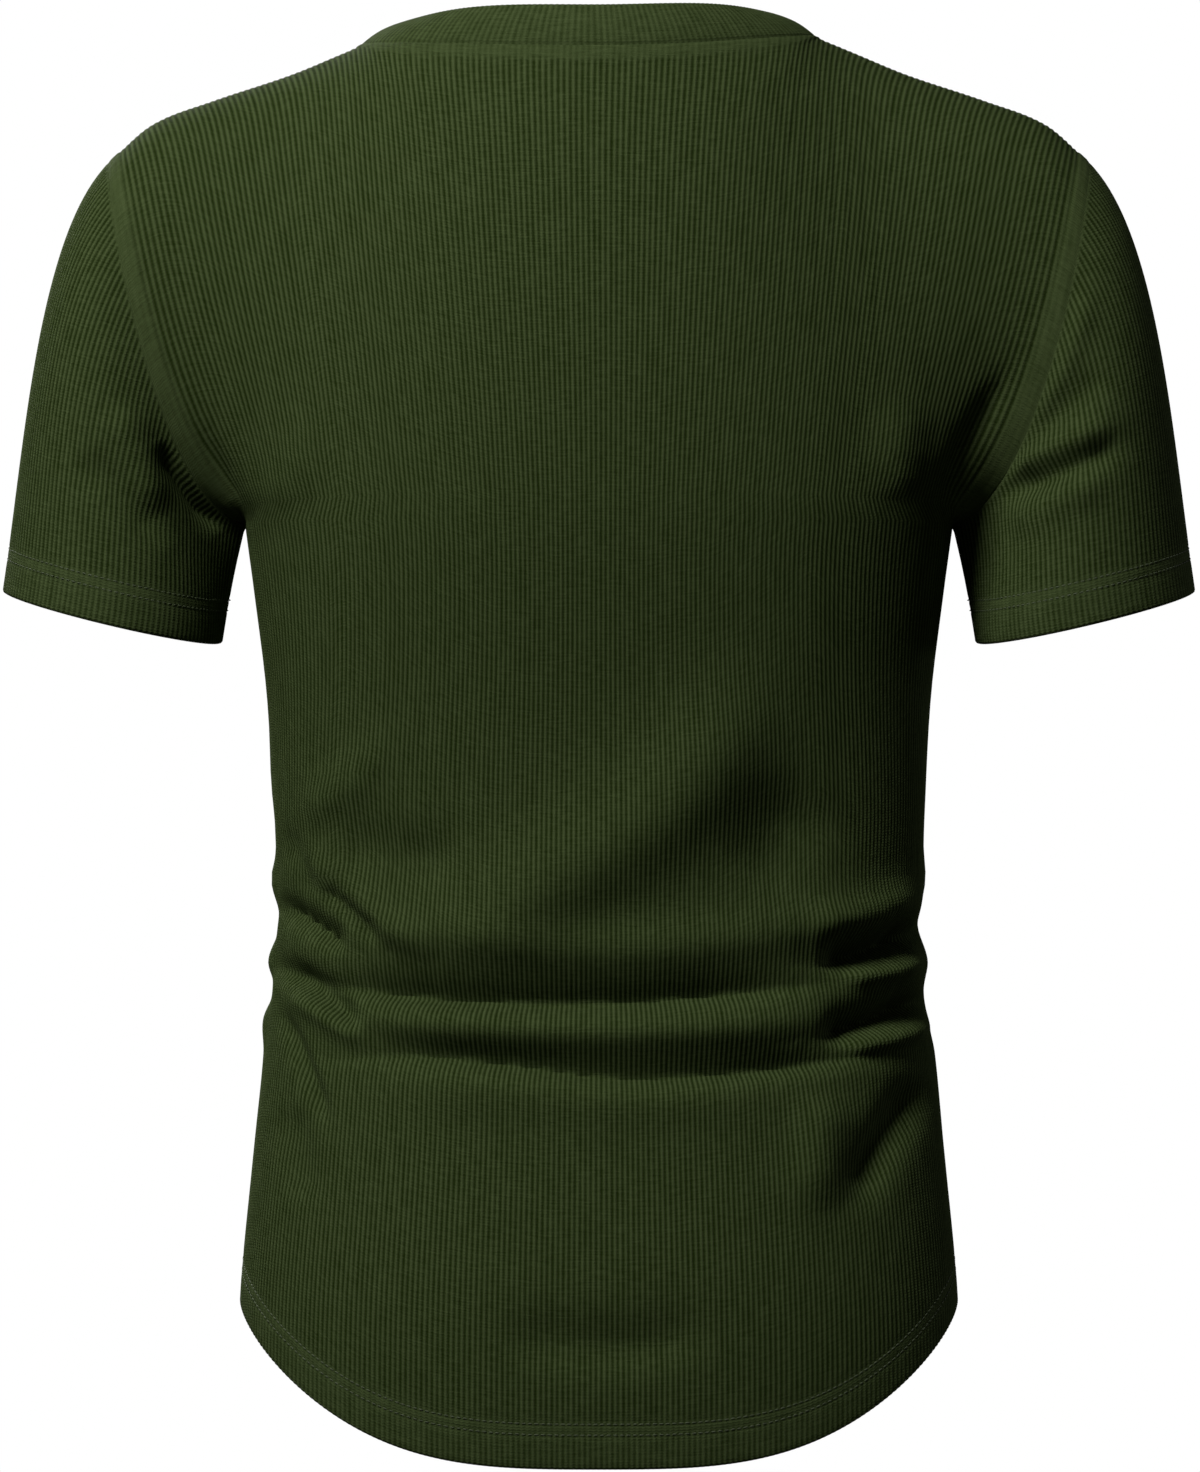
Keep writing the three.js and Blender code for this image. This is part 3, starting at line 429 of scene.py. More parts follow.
def body_levels(face, u):
    """Levels of the fine rows of a panel, at the shares u."""
    bow = (1 - np.cos(GREEK_PI * np.abs(u) ** HEM_CURVE)) / 2
    low_side, low_centre = HEM_LOW[face]
    rows = [(low_side + offset, low_centre + offset) for offset in HEM_OFFSETS[:-1]]
    table = BACK_ROWS if face == "back" else FRONT_ROWS
    for (side, centre, steps), (next_side, next_centre, _) in zip(table, table[1:]):
        for k in range(steps):
            rows.append((side + (next_side - side) * k / steps, centre + (next_centre - centre) * k / steps))
    rows.append(table[-1][:2])
    rows = np.array(rows)
    lower = rows[:, 1:] + (rows[:, :1] - rows[:, 1:]) * bow
    upper = ARMPIT_Z + YOKE * UPPER_SHARES[:, None] + np.zeros_like(u)
    return np.concatenate([lower, upper])


def hem_edge(offset):
    """How far the cloth turns in at a hem's edge."""
    t = np.clip(1 - offset / HEM_ROUND, 0, 1)
    return -HEM_ROUND * (1 - np.sqrt(1 - t * t))


def needle_dents(offset):
    """Two rows of stitches pull a hem in a little, and the edge of the turned-up cloth shows."""
    dents = -0.3 * bell(offset - NEEDLE_LINES[0], 0.9) - 0.3 * bell(offset - NEEDLE_LINES[1], 0.9)
    return dents + 0.12 * smooth((22.5 - offset) / 1.5)


def hem_calm(offset):
    """A hem's double cloth is more even, most of all between its rows of stitches."""
    return 0.3 * smooth((23 - offset) / 2) + 0.45 * bell(offset - 18.5, 4)


def across_grain(normals, grain, edges):
    """How much of each step along a row lies across the grain."""
    course = unit(np.cross(normals, grain))
    return np.abs((course * edges).sum(-1))


def upper_shares(face, across, levels):
    """Shares u of the columns above the armpits, so that the ribs run straight up the cloth's grain.

    Columns that meet the armhole end on it. Also tells how far each is from the armhole.
    """
    samples = np.linspace(0, 1, 161)
    shares = np.empty(levels.shape)
    left_over = np.empty(levels.shape)
    for hand in (-1, 1):
        mine = np.sign(across) == hand
        mine |= across == 0
        u, level = samples * hand, levels[:, :1]
        here = torso(face, u, level + 0 * u)
        edges = np.gradient(here, axis=1)
        upward = torso(face, u, level + 1.5 + 0 * u) - torso(face, u, level - 1.5 + 0 * u)
        normals = unit(np.cross(edges, upward))
        grain = np.cross(normals, (1.0, 0.0, 0.0))
        steps = across_grain(normals, grain, edges)
        run = np.concatenate([np.zeros((len(levels), 1)), np.cumsum((steps[:, 1:] + steps[:, :-1]) / 2, 1)], 1)
        span = run[0, -1]
        for r in range(len(levels)):
            wanted = np.abs(across[mine]) * max(span, run[r, -1])
            away = run[r, -1] - wanted
            found = np.interp(wanted, run[r], samples)
            shares[r, mine] = np.where(away < LEAST_COLUMN, 1, found) * np.where(across[mine] == 0, 1, hand)
            left_over[r, mine] = np.maximum(away, 0)
    shares[:, across == 0] = 0
    return shares, left_over


class Panel:
    """A fine grid of one face of the body: points, normals, distances to its seams."""

    def __init__(self, face):
        turn = -1 if face == "back" else 1
        columns = BODY_RIBS * RIB_COLUMNS
        across = np.linspace(-1, 1, columns + 1) * turn
        levels = body_levels(face, across)
        below = len(levels) - len(UPPER_SHARES)
        u = np.array(np.broadcast_to(across, levels.shape))
        side = (1 - np.abs(u)) * SIDE_SPAN
        u[below:], side[below:] = upper_shares(face, across, levels[below:])
        slip = smooth(1 + (levels[:below] - ARMPIT_Z) / SLIP_SPAN)
        u[:below] += (u[below] - across) * (1 - np.abs(across) ** 4) * slip
        self.ended = (np.abs(u) == 1) & (np.arange(len(levels)) >= below)[:, None]
        base = torso(face, u, levels)
        normal = self.edge_values(grid_normals(base, 1))
        folds = BACK_FOLDS if face == "back" else FRONT_FOLDS
        x, z = base[..., 0], base[..., 2]
        open_share = 1 - smooth((np.abs(u) - 0.9) / 0.1)
        sides = np.where(u < 0, side_out["right"](z), side_out["left"](z))
        sides = np.where((z > SIDE_Z[0]) & (z < SIDE_Z[-1]), sides, 0)
        rise = fold_lift(folds, x, z) * open_share * smooth((-28 - z) / 60) + sides * (1 - open_share)
        self.points = base + normal * rise[..., None]
        share = (levels[:, 0] - ARMPIT_Z) / YOKE
        around = armhole_run if face == "back" else armhole_run[::-1]
        shared = seam_normals(np.interp(share, armhole_w, around[: len(armhole_w)]))[:, None]
        shared = shared * np.stack([np.sign(u), np.ones(u.shape), np.ones(u.shape)], -1)
        self.above = smooth((levels - ARMPIT_Z) / 12)
        near = smooth(1 - side / SEAM_BLEND) * self.above
        self.normals = unit(mixed(self.edge_values(grid_normals(self.points, 1)), shared, near))
        self.hem = run_up(self.points)
        self.top = self.hem[-1] - self.hem
        self.side = side
        self.u = u

    def edge_values(self, values):
        """Columns that have ended on the armhole take what the first ended one of their row has."""
        values = values.copy()
        middle = self.ended.shape[1] // 2
        for r in np.flatnonzero(self.ended.any(1)):
            first = np.flatnonzero(self.ended[r, :middle])[-1]
            last = middle + np.flatnonzero(self.ended[r, middle:])[0]
            values[r, :first] = values[r, first]
            values[r, last:] = values[r, last]
        return values


class Sleeve:
    """A fine grid of one sleeve, ring by ring from the armhole to the cuff."""

    def __init__(self, hand):
        sign = 1 if hand == "left" else -1
        across = np.linspace(0, 1, SLEEVE_RIBS * RIB_COLUMNS + 1)
        down = np.linspace(0, 1, 41)
        straight = sleeve_grain(across, down)
        length = np.linalg.norm(np.diff(sleeve_base(straight, down[:, None]), axis=0), axis=-1).sum(0)
        hem_share = 1 - HEM_OFFSETS[-1] / length
        shares = np.concatenate([(0, 0.004, 0.01, 0.018, 0.03, 0.045), np.linspace(0.065, 1, 36)])
        upper = shares[:, None] * hem_share
        lower = 1 - np.array(HEM_OFFSETS[-2::-1])[:, None] / length
        w = np.concatenate([upper, lower])
        s = np.stack([np.interp(w[:, c], down, straight[:, c]) for c in range(len(across))], 1)
        base = sleeve_base(s, w)
        normal = grid_normals(base, 1, ring=True)
        rise = 0
        for facing in (1, -1):
            side = smooth(facing * base[..., 1] / 20)
            rise = rise + side * fold_lift(SLEEVE_FOLDS[hand, facing], base[..., 0] * sign, base[..., 2])
        points = base + normal * (rise * smooth(w / 0.12))[..., None]
        self.from_armhole = run_up(points)
        self.from_cuff = self.from_armhole[-1] - self.from_armhole
        near = smooth(1 - self.from_armhole / SEAM_BLEND)
        self.normals = unit(mixed(grid_normals(points, 1, ring=True), seam_normals(s[0]), near))
        self.points = points
        self.underarm = np.minimum(s, 1 - s) * CUFF["round"]
        self.sign = sign


armhole_w = np.linspace(0, 1, 241)
armhole_line = np.concatenate([yoke("back", 1.0, armhole_w), yoke("front", 1.0, armhole_w[::-1])[1:]])
armhole_run = np.concatenate([[0], np.cumsum(np.linalg.norm(np.diff(armhole_line, axis=0), axis=-1))])
armhole_run = armhole_run / armhole_run[-1]


def seam_normals(s):
    """Normals that the body and the left sleeve share along the armhole."""
    on_back = s <= armhole_run[len(armhole_w) - 1]
    share = np.interp(s, armhole_run, np.concatenate([armhole_w, armhole_w[-2::-1]]))
    level = ARMPIT_Z + YOKE * np.clip(share, 0.01, 0.99)
    body = {}
    for face, outward in (("back", -1), ("front", 1)):
        across = torso(face, 1, level) - torso(face, 0.98, level)
        upward = torso(face, 1, level + 1) - torso(face, 1, level - 1)
        body[face] = unit(np.cross(across, upward)) * outward
    around = sleeve_base(s + 0.003, 0) - sleeve_base(s - 0.003, 0)
    sleeve = unit(np.cross(around, sleeve_base(s, 0.03) - sleeve_base(s, 0)))
    return unit(np.where(on_back[..., None], body["back"], body["front"]) + sleeve)


def on_armhole(s):
    s = np.asarray(s, float)
    turn = s - np.floor(s)
    turn = np.where((turn == 0) & (s > 0.5), 1.0, turn)
    return np.stack([np.interp(turn, armhole_run, armhole_line[:, k]) for k in range(3)], -1)


def sleeve_base(s, w):
    """The left sleeve at share s round the arm, from the armpit by the back, and share w down it."""
    s, w = np.broadcast_arrays(np.asarray(s, float), np.asarray(w, float))
    angle = 2 * GREEK_PI * s
    back = np.sin(angle)
    end = np.zeros(s.shape + (3,))
    end[..., 0], end[..., 2] = CUFF["x"], CUFF["z"]
    end = end - CUFF_OUTWARD * (np.cos(angle) * CUFF["half"])[..., None]
    end[..., 1] += back * CUFF["depth"]
    end[..., 2] -= back * CUFF["back_drop"]
    low_pull = ((1 + np.cos(angle)) / 2) ** 1.5
    leave = mixed(HEAD_PULL, UNDERARM_PULL, low_pull)
    leave[..., 1] += back * SLEEVE_SWELL
    arrive = DOWN_ARM * (HEAD_ARRIVE + (UNDERARM_ARRIVE - HEAD_ARRIVE) * low_pull)[..., None]
    return cubic(on_armhole(s), leave, end, arrive, w)


def sleeve_grain(across, down):
    """Shares s of the columns at each share down the sleeve, so that the ribs run straight down it.

    They keep their distances from the outer edge, taken in planes square to the sleeve.
    """
    samples, w = np.linspace(0.5, 0, 121), np.linspace(0, 1.4, 141)
    index = np.arange(len(samples))
    shares = np.empty((len(down), len(across)))
    for mine, s in ((across <= 0.5, samples), (across > 0.5, 1 - samples)):
        along = sleeve_base(s, w[:, None]) @ SLEEVE_GRAIN
        planes = np.concatenate([along[0], np.linspace(along[0, -1], along[100].max(), 50)[1:]])
        met = np.stack([np.interp(planes, along[:, i], w) for i in index], 1)
        lines = sleeve_base(s, met)
        steps = np.linalg.norm(np.diff(lines, axis=1), axis=-1)
        run = np.concatenate([np.zeros((len(planes), 1)), np.cumsum(steps, 1)], 1)
        last = np.minimum(np.arange(len(planes)), index[-1])
        reach = run[np.arange(len(planes)), last]
        full = reach[index[-1]]
        wanted = np.abs(1 - 2 * across[mine]) * full
        found_w = [np.zeros(wanted.shape)]
        found_s = [np.interp(wanted, reach[: len(index)], s)]
        for j in range(1, len(planes)):
            scale = 1 if j < len(index) else reach[j] / full
            at = np.interp(wanted * scale, run[j, : last[j] + 1], index[: last[j] + 1])
            there = wanted * scale <= reach[j] + 1e-6
            found_w.append(np.where(there, np.interp(at, index, met[j]), 0))
            found_s.append(np.where(there, np.interp(at, index, s), found_s[0]))
        found_w, found_s = np.array(found_w), np.array(found_s)
        columns = [np.interp(down, found_w[:, c], found_s[:, c]) for c in range(len(wanted))]
        shares[:, mine] = np.array(columns).T
    return shares


def neck_point(turn):
    """Round the neckline, from the front centre by the wearer's right, the back and the left."""
    quarter = (np.asarray(turn, float) % 1) * 4
    front_u = np.where(quarter < 2, -quarter, 4 - quarter) * NECK_SHARE
    back_u = (quarter - 2) * NECK_SHARE
    in_front = (quarter < 1) | (quarter >= 3)
    return np.where(in_front[..., None], top_edge("front", front_u), top_edge("back", back_u))


def piece_object(name, points, faces, finish, uv, calm):
    """Makes a closed piece from points in millimetres."""
    mesh = bpy.data.meshes.new(name)
    points = np.asarray(points, float) * MM
    faces = np.asarray(faces)
    corners = points[faces]
    volume = np.einsum("ij,ij->i", corners[:, 0], np.cross(corners[:, 1], corners[:, 2])).sum()
    if volume < 0:
        faces = faces[:, ::-1]
    mesh.from_pydata(points.tolist(), [], faces.tolist())
    mesh.polygons.foreach_set("use_smooth", np.ones(len(faces), bool))
    layer = mesh.uv_layers.new(name="cloth")
    layer.data.foreach_set("uv", np.asarray(uv, np.float32)[faces.ravel()].ravel())
    mesh.attributes.new("calm", "FLOAT", "POINT").data.foreach_set("value", np.asarray(calm, np.float32))
    mesh.set_sharp_from_angle(angle=math.radians(60))
    mesh.materials.append(finish)
    mesh.update()
    made = bpy.data.objects.new(name, mesh)
    bpy.context.scene.collection.objects.link(made)
    return made


def skin_faces(ids):
    a, b = ids[:-1, :-1].ravel(), ids[:-1, 1:].ravel()
    c, d = ids[1:, 1:].ravel(), ids[1:, :-1].ravel()
    return np.concatenate([np.stack([a, b, c], -1), np.stack([a, c, d], -1)])


def strip_faces(fine, coarse, every):
    """Joins a fine line of points with a coarse one that has a point at every so many of them."""
    faces = []
    for j in range(len(coarse) - 1):
        first = j * every
        half = first + every // 2
        for k in range(first, first + every):
            faces.append((fine[k], coarse[j] if k < half else coarse[j + 1], fine[k + 1]))
        faces.append((fine[half], coarse[j], coarse[j + 1]))
    return np.array(faces)


def shell(name, outer, inner, uv, calm, ring=False, every=INNER_EVERY, ended=None):
    """A closed shell of cloth from an outer grid and every so many columns of an inner one.

    Where columns have ended, they share the point at the grid's edge.
    """
    uv = np.concatenate([uv, np.broadcast_to(calm, uv.shape[:2])[..., None]], -1)
    inner, inner_uv = inner[:, ::every], uv[:, ::every]
    rows, columns = outer.shape[:2]
    out_ids = np.arange(rows * columns).reshape(rows, columns)
    in_ids = np.arange(inner.shape[0] * inner.shape[1]).reshape(inner.shape[:2]) + rows * columns
    if ring:
        out_ids[:, -1] = out_ids[:, 0]
        in_ids[:, -1] = in_ids[:, 0]
    if ended is not None:
        for ids, over in ((out_ids, ended), (in_ids, ended[:, ::every])):
            first_half = np.arange(ids.shape[1]) < ids.shape[1] / 2
            edge = np.where(first_half, ids[:, :1], ids[:, -1:])
            ids[over] = edge[over]
    faces = [skin_faces(out_ids), skin_faces(in_ids)[:, ::-1]]
    faces.append(strip_faces(out_ids[0], in_ids[0], every))
    faces.append(strip_faces(out_ids[-1], in_ids[-1], every)[:, ::-1])
    if not ring:
        faces.append(skin_faces(np.stack([in_ids[:, 0], out_ids[:, 0]], 1)))
        faces.append(skin_faces(np.stack([out_ids[:, -1], in_ids[:, -1]], 1)))
    points = np.concatenate([outer.reshape(-1, 3), inner.reshape(-1, 3)])
    faces = np.concatenate(faces)
    flat_uv = np.concatenate([uv.reshape(-1, 3), inner_uv.reshape(-1, 3)])
    whole = (faces[:, 0] != faces[:, 1]) & (faces[:, 1] != faces[:, 2]) & (faces[:, 2] != faces[:, 0])
    used, back = np.unique(faces[whole], return_inverse=True)
    points, flat_uv, faces = points[used], flat_uv[used], back.reshape(-1, 3)
    return piece_object(name, points, faces, KNIT, flat_uv[:, :2], flat_uv[:, 2])


def ribs(columns, calm):
    """How high each column stands on the ribs. On calm cloth they are flatter, at the same mean height."""
    profile = np.array([RIB_PROFILE[i % RIB_COLUMNS] for i in range(columns)])
    return RIB_RISE * (RIB_MEAN + (profile - RIB_MEAN) * (1 - calm))


class Signal:
    """A socket of a material's nodes, so that its maths can be written as expressions."""

    def __init__(self, finish, socket):
        self.finish = finish
        self.socket = socket

    def __add__(self, other):
        return self.finish.maths("ADD", self, other)

    def __sub__(self, other):
        return self.finish.maths("SUBTRACT", self, other)

    def __rsub__(self, other):
        return self.finish.maths("SUBTRACT", other, self)

    def __mul__(self, other):
        return self.finish.maths("MULTIPLY", self, other)

    def __pow__(self, other):
        return self.finish.maths("POWER", self, other)

    __radd__ = __add__
    __rmul__ = __mul__


class Finish:
    """A material whose nodes are made one by one."""

    def __init__(self, name, colour, roughness):
        self.material = bpy.data.materials.new(name)
        self.material.use_nodes = True
        self.tree = self.material.node_tree
        self.shader = self.tree.nodes["Principled BSDF"]
        self.shader.inputs["Base Color"].default_value = (*colour, 1)
        self.shader.inputs["Roughness"].default_value = roughness

    def node(self, kind, settings=None, inputs=None):
        made = self.tree.nodes.new(kind)
        for key, value in (settings or {}).items():
            setattr(made, key, value)
        for key, value in (inputs or {}).items():
            if isinstance(value, Signal):
                self.tree.links.new(value.socket, made.inputs[key])
            else:
                made.inputs[key].default_value = value
        return made

    def read(self, made, output=0):
        return Signal(self, made.outputs[output])

    def maths(self, operation, *values):
        return self.read(self.node("ShaderNodeMath", {"operation": operation}, dict(enumerate(values))))

    def noise(self, vector, scale, detail=2.0):
        made = self.node("ShaderNodeTexNoise", None, {"Vector": vector, "Scale": scale, "Detail": detail})
        return self.read(made, "Fac")

    def vector(self, x, y, z=0.0):
        return self.read(self.node("ShaderNodeCombineXYZ", None, {"X": x, "Y": y, "Z": z}))

    def mixed_colour(self, share, low, high):
        made = self.node("ShaderNodeMix", {"data_type": "RGBA"}, {"Factor": share})
        for key, value in ((6, low), (7, high)):
            if isinstance(value, Signal):
                self.tree.links.new(value.socket, made.inputs[key])
            else:
                made.inputs[key].default_value = (*value, 1)
        return self.read(made, 2)

    def limited(self, value, low, high, to_low=0.0, to_high=1.0):
        inputs = {"Value": value, 1: low, 2: high, 3: to_low, 4: to_high}
        return self.read(self.node("ShaderNodeMapRange", {"interpolation_type": "SMOOTHSTEP"}, inputs))

    def colour(self, signal):
        self.tree.links.new(signal.socket, self.shader.inputs["Base Color"])

    def roughness(self, signal):
        self.tree.links.new(signal.socket, self.shader.inputs["Roughness"])

    def bump(self, height, distance, strength=1.0):
        made = self.node("ShaderNodeBump", None, {"Height": height, "Distance": distance, "Strength": strength})
        self.tree.links.new(made.outputs["Normal"], self.shader.inputs["Normal"])


def rib_knit():
    """Olive rib knit: painted shade darkens the grooves between the ribs and lightens their ridges, with knit
    stitches and a heathered yarn.
    """
    finish = Finish("rib_knit", (0.036, 0.052, 0.015), 0.95)
    finish.shader.inputs["Specular IOR Level"].default_value = 0.05
    parts = finish.node("ShaderNodeSeparateXYZ", None,
                        {0: finish.read(finish.node("ShaderNodeUVMap", {"uv_map": "cloth"}))})
    rib, along = finish.read(parts, "X"), finish.read(parts, "Y")
    calm = finish.read(finish.node("ShaderNodeAttribute", {"attribute_name": "calm"}), "Fac")
    # Painted shade: the base colour is darker in the grooves between the ribs and lighter on their ridges. On calm
    # cloth it fades towards the lighter ridge colour.
    ridge = finish.maths("COSINE", rib * (2 * GREEK_PI)) * 0.5 + 0.5
    courses = finish.noise(finish.vector(rib * 0.3, along * 0.9), 1.0, 3.0)
    wales = finish.noise(finish.vector(rib * 0.9, along * 0.05, 7.0), 1.0, 2.0)
    fibre = finish.noise(finish.vector(rib * 4.0, along * 1.9, 3.0), 1.0, 2.0)
    # This tone mixes the yarn's random heather with the painted groove shade; the dark end of the mix below serves
    # both.
    heather_and_groove_shade = (ridge - (ridge - 0.8) * calm) * 0.5 + courses * 0.5 + wales * 0.3 + fibre * 0.4
    finish.colour(
        finish.mixed_colour(
            finish.limited(heather_and_groove_shade, 0.45, 1.35),
            (0.013, 0.023, 0.003),
            (0.072, 0.099, 0.036),
        )
    )
    lean = finish.maths("ABSOLUTE", finish.maths("FRACT", rib * 1.0) - 0.5)
    stitches = finish.maths("SINE", along * 4.9 + lean * 5.0)
    finish.bump(stitches * 0.35 + fibre * 0.9 + courses * 0.5, 0.00018, 0.8)
    return finish.material


def sewing_thread():
    finish = Finish("sewing_thread", (0.06, 0.08, 0.035), 0.75)
    place = finish.read(finish.node("ShaderNodeTexCoord"), "Object")
    twist = finish.noise(place, 900.0, 1.0)
    finish.colour(finish.mixed_colour(twist, (0.042, 0.06, 0.022), (0.078, 0.1, 0.046)))
    return finish.material


def button_finish():
    finish = Finish("button_plastic", (0.02, 0.024, 0.012), 0.32)
    finish.shader.inputs["Coat Weight"].default_value = 0.3
    finish.shader.inputs["Coat Roughness"].default_value = 0.15
    place = finish.read(finish.node("ShaderNodeTexCoord"), "Object")
    swirl = finish.noise(place, 260.0, 4.0)
    finish.colour(
        finish.mixed_colour(finish.limited(swirl, 0.35, 0.7), (0.012, 0.015, 0.008), (0.034, 0.04, 0.022))
    )
    finish.roughness(finish.limited(swirl, 0.3, 0.7, 0.26, 0.42))
    finish.bump(swirl, 0.00005, 0.4)
    return finish.material


def plain_glow(name, strength):
    """A pale studio surface that is equally bright all over."""
    material = bpy.data.materials.new(name)
    material.use_nodes = True
    shader = material.node_tree.nodes["Principled BSDF"]
    shader.inputs["Base Color"].default_value = (0, 0, 0, 1)
    shader.inputs["Roughness"].default_value = 1
    shader.inputs["Specular IOR Level"].default_value = 0
    shader.inputs["Emission Color"].default_value = (1, 1, 1, 1)
    shader.inputs["Emission Strength"].default_value = strength
    return material


KNIT = rib_knit()
THREAD = sewing_thread()
PLASTIC = button_finish()

panels = {face: Panel(face) for face in ("back", "front")}
sleeves = {hand: Sleeve(hand) for hand in ("left", "right")}


def seam_band(distance, width, rise, dent):
    """A seam allowance under the cloth: a soft raised band beside the seam, and the seam's groove."""
    band = (AT_SEAM + (1 - AT_SEAM) * smooth(distance / 1.6)) * smooth((width + 1.4 - distance) / 2.8)
    return rise * band - dent * bell(distance, 0.9)


def body_shell(face):
    panel = panels[face]
    rows, columns = panel.u.shape
    side, top, hem = panel.side, panel.top, panel.hem
    on_neck = smooth((NECK_SHARE + 0.005 - np.abs(panel.u)) / 0.01)
    armhole_band = panel.above * smooth((9 - side) / 4)
    neck_band = on_neck * smooth((10 - top) / 3)
    calm = np.maximum(np.maximum(0.9 * armhole_band, 0.7 * neck_band), hem_calm(hem))
    edge = panel.above + (1 - panel.above) * smooth(side / 1.6)
    at_top = smooth(top / 1.2) + (1 - smooth(top / 1.2)) * 0.6 * armhole_band
    rib = ribs(columns, calm) * edge * at_top
    lift = rib + needle_dents(hem) + hem_edge(hem)
    lift = lift + panel.above * seam_band(side, 6.4, ARMHOLE_BAND, 0) * (0.6 + 0.4 * smooth(top / 3))
    lift = lift - (1 - panel.above) * SEAM_DENT * bell(side, 0.9)
    lift = lift + on_neck * seam_band(top, 8, 0.5, 0.1) + (1 - on_neck) * seam_band(top, 5, 0.15, 0.3)
    thick = CLOTH + (HEM_CLOTH - CLOTH) * smooth((23 - hem) / 1.2)
    sink = -thick - hem_edge(hem)
    uv = np.stack([np.broadcast_to(np.arange(columns) / RIB_COLUMNS, (rows, columns)), hem], -1)
    return shell(
        f"{face}_cloth",
        panel.points + panel.normals * lift[..., None],
        panel.points + panel.normals * sink[..., None],
        uv,
        calm,
        ended=panel.ended,
    )


def sleeve_shell(hand):
    sleeve = sleeves[hand]
    rows, columns = sleeve.from_cuff.shape
    cuff, armhole, underarm = sleeve.from_cuff, sleeve.from_armhole, sleeve.underarm
    calm = np.maximum(hem_calm(cuff), smooth((2.5 - armhole) / 2.5))
    rib = ribs(columns, calm) * np.maximum(smooth(underarm / 1.5), smooth((2 - armhole) / 2))
    lift = rib + needle_dents(cuff) + hem_edge(cuff) + AT_SEAM * ARMHOLE_BAND * bell(armhole, 3)
    lift = lift - SEAM_DENT * bell(underarm, 0.9) * smooth((armhole - 1) / 3)
    thick = CLOTH + (HEM_CLOTH - CLOTH) * smooth((23 - cuff) / 1.2)
    sink = -thick - hem_edge(cuff)
    mirror = np.array((sleeve.sign, 1, 1))
    uv = np.stack([np.broadcast_to(np.arange(columns) / RIB_COLUMNS, (rows, columns)), cuff], -1)
    return shell(
        f"{hand}_sleeve_cloth",
        (sleeve.points + sleeve.normals * lift[..., None]) * mirror,
        (sleeve.points + sleeve.normals * sink[..., None]) * mirror,
        uv,
        calm,
        ring=True,
    )


neck_turns = np.linspace(0, 1, 961)
neck_length = np.linalg.norm(np.diff(neck_point(neck_turns), axis=0), axis=-1).sum()


def band_surface(turn, w):
    """The neckband's middle surface: it stands up from the neckline and leans in."""
    turn, w = np.broadcast_arrays(np.asarray(turn, float), np.asarray(w, float))
    low = neck_point(turn)
    inward = np.stack([4 - low[..., 0], 2 - low[..., 1], np.zeros(turn.shape)], -1)
    lean = BAND["lean"] + BAND["lean_side"] * np.abs(np.sin(2 * GREEK_PI * turn)) ** BAND["lean_power"]
    slope = unit(inward) * lean[..., None]
    slope[..., 2] = np.sqrt(1 - lean * lean)
    return low + slope * (BAND["width"] * w + BAND["gap"])[..., None]


def neckband_shell():
    half = PLACKET["half"] / neck_length
    columns = BAND_RIBS * RIB_COLUMNS + 1
    turn = np.linspace(1 + half, -half, columns)
    w = np.array((-0.07, -0.03, 0, 0.03, 0.07, 0.16, 0.28, 0.4, 0.52, 0.64, 0.76, 0.86, 0.93, 0.97, 1.0))
    turns, shares = np.meshgrid(turn, w)
    base = band_surface(turns, shares)
    normal = grid_normals(base, 1)
    sunk = BAND["underlap"] * (1 - smooth((turns - half) / BAND["settle"]))
    bulge = BAND["bulge"] * np.sin(GREEK_PI * np.clip(shares, 0, 1))
    across = shares * BAND["width"]
    tuck = 0.9 * smooth((1.2 - across) / 2.4)
    edge = BAND["width"] - across
    t = np.clip(1 - edge / 1.3, 0, 1)
    brim = -1.25 * (1 - np.sqrt(1 - t * t))
    rib = ribs(columns, BAND["calm"]) * smooth(across / 1.5)
    lift = rib + bulge + brim - tuck - sunk
    sink = bulge - BAND["cloth"] - brim - sunk
    uv = np.stack([np.broadcast_to(np.arange(columns) / RIB_COLUMNS, shares.shape), across], -1)
    return shell(
        "neckband_cloth",
        base + normal * lift[..., None],
        base + normal * sink[..., None],
        uv,
        BAND["calm"],
    )


def front_at(x, z):
    """The front of the body at x and z: its points and normals."""
    x, z = np.broadcast_arrays(np.asarray(x, float), np.asarray(z, float))

    def solve(x, z):
        u, level = x / SIDE_SPAN, ARMPIT_Z + (z - ARMPIT_Z) * 1.4
        for _ in range(24):
            here = torso("front", u, level)
            u = u + (x - here[..., 0]) / SIDE_SPAN
            level = np.clip(level + (z - here[..., 2]) * 1.1, ARMPIT_Z - 60, ARMPIT_Z + YOKE)
        return torso("front", u, level)

    step = 0.6
    here = solve(x, z)
    across = solve(x + step, z) - solve(x - step, z)
    upward = solve(x, z + step) - solve(x, z - step)
    return here, unit(np.cross(across, upward))


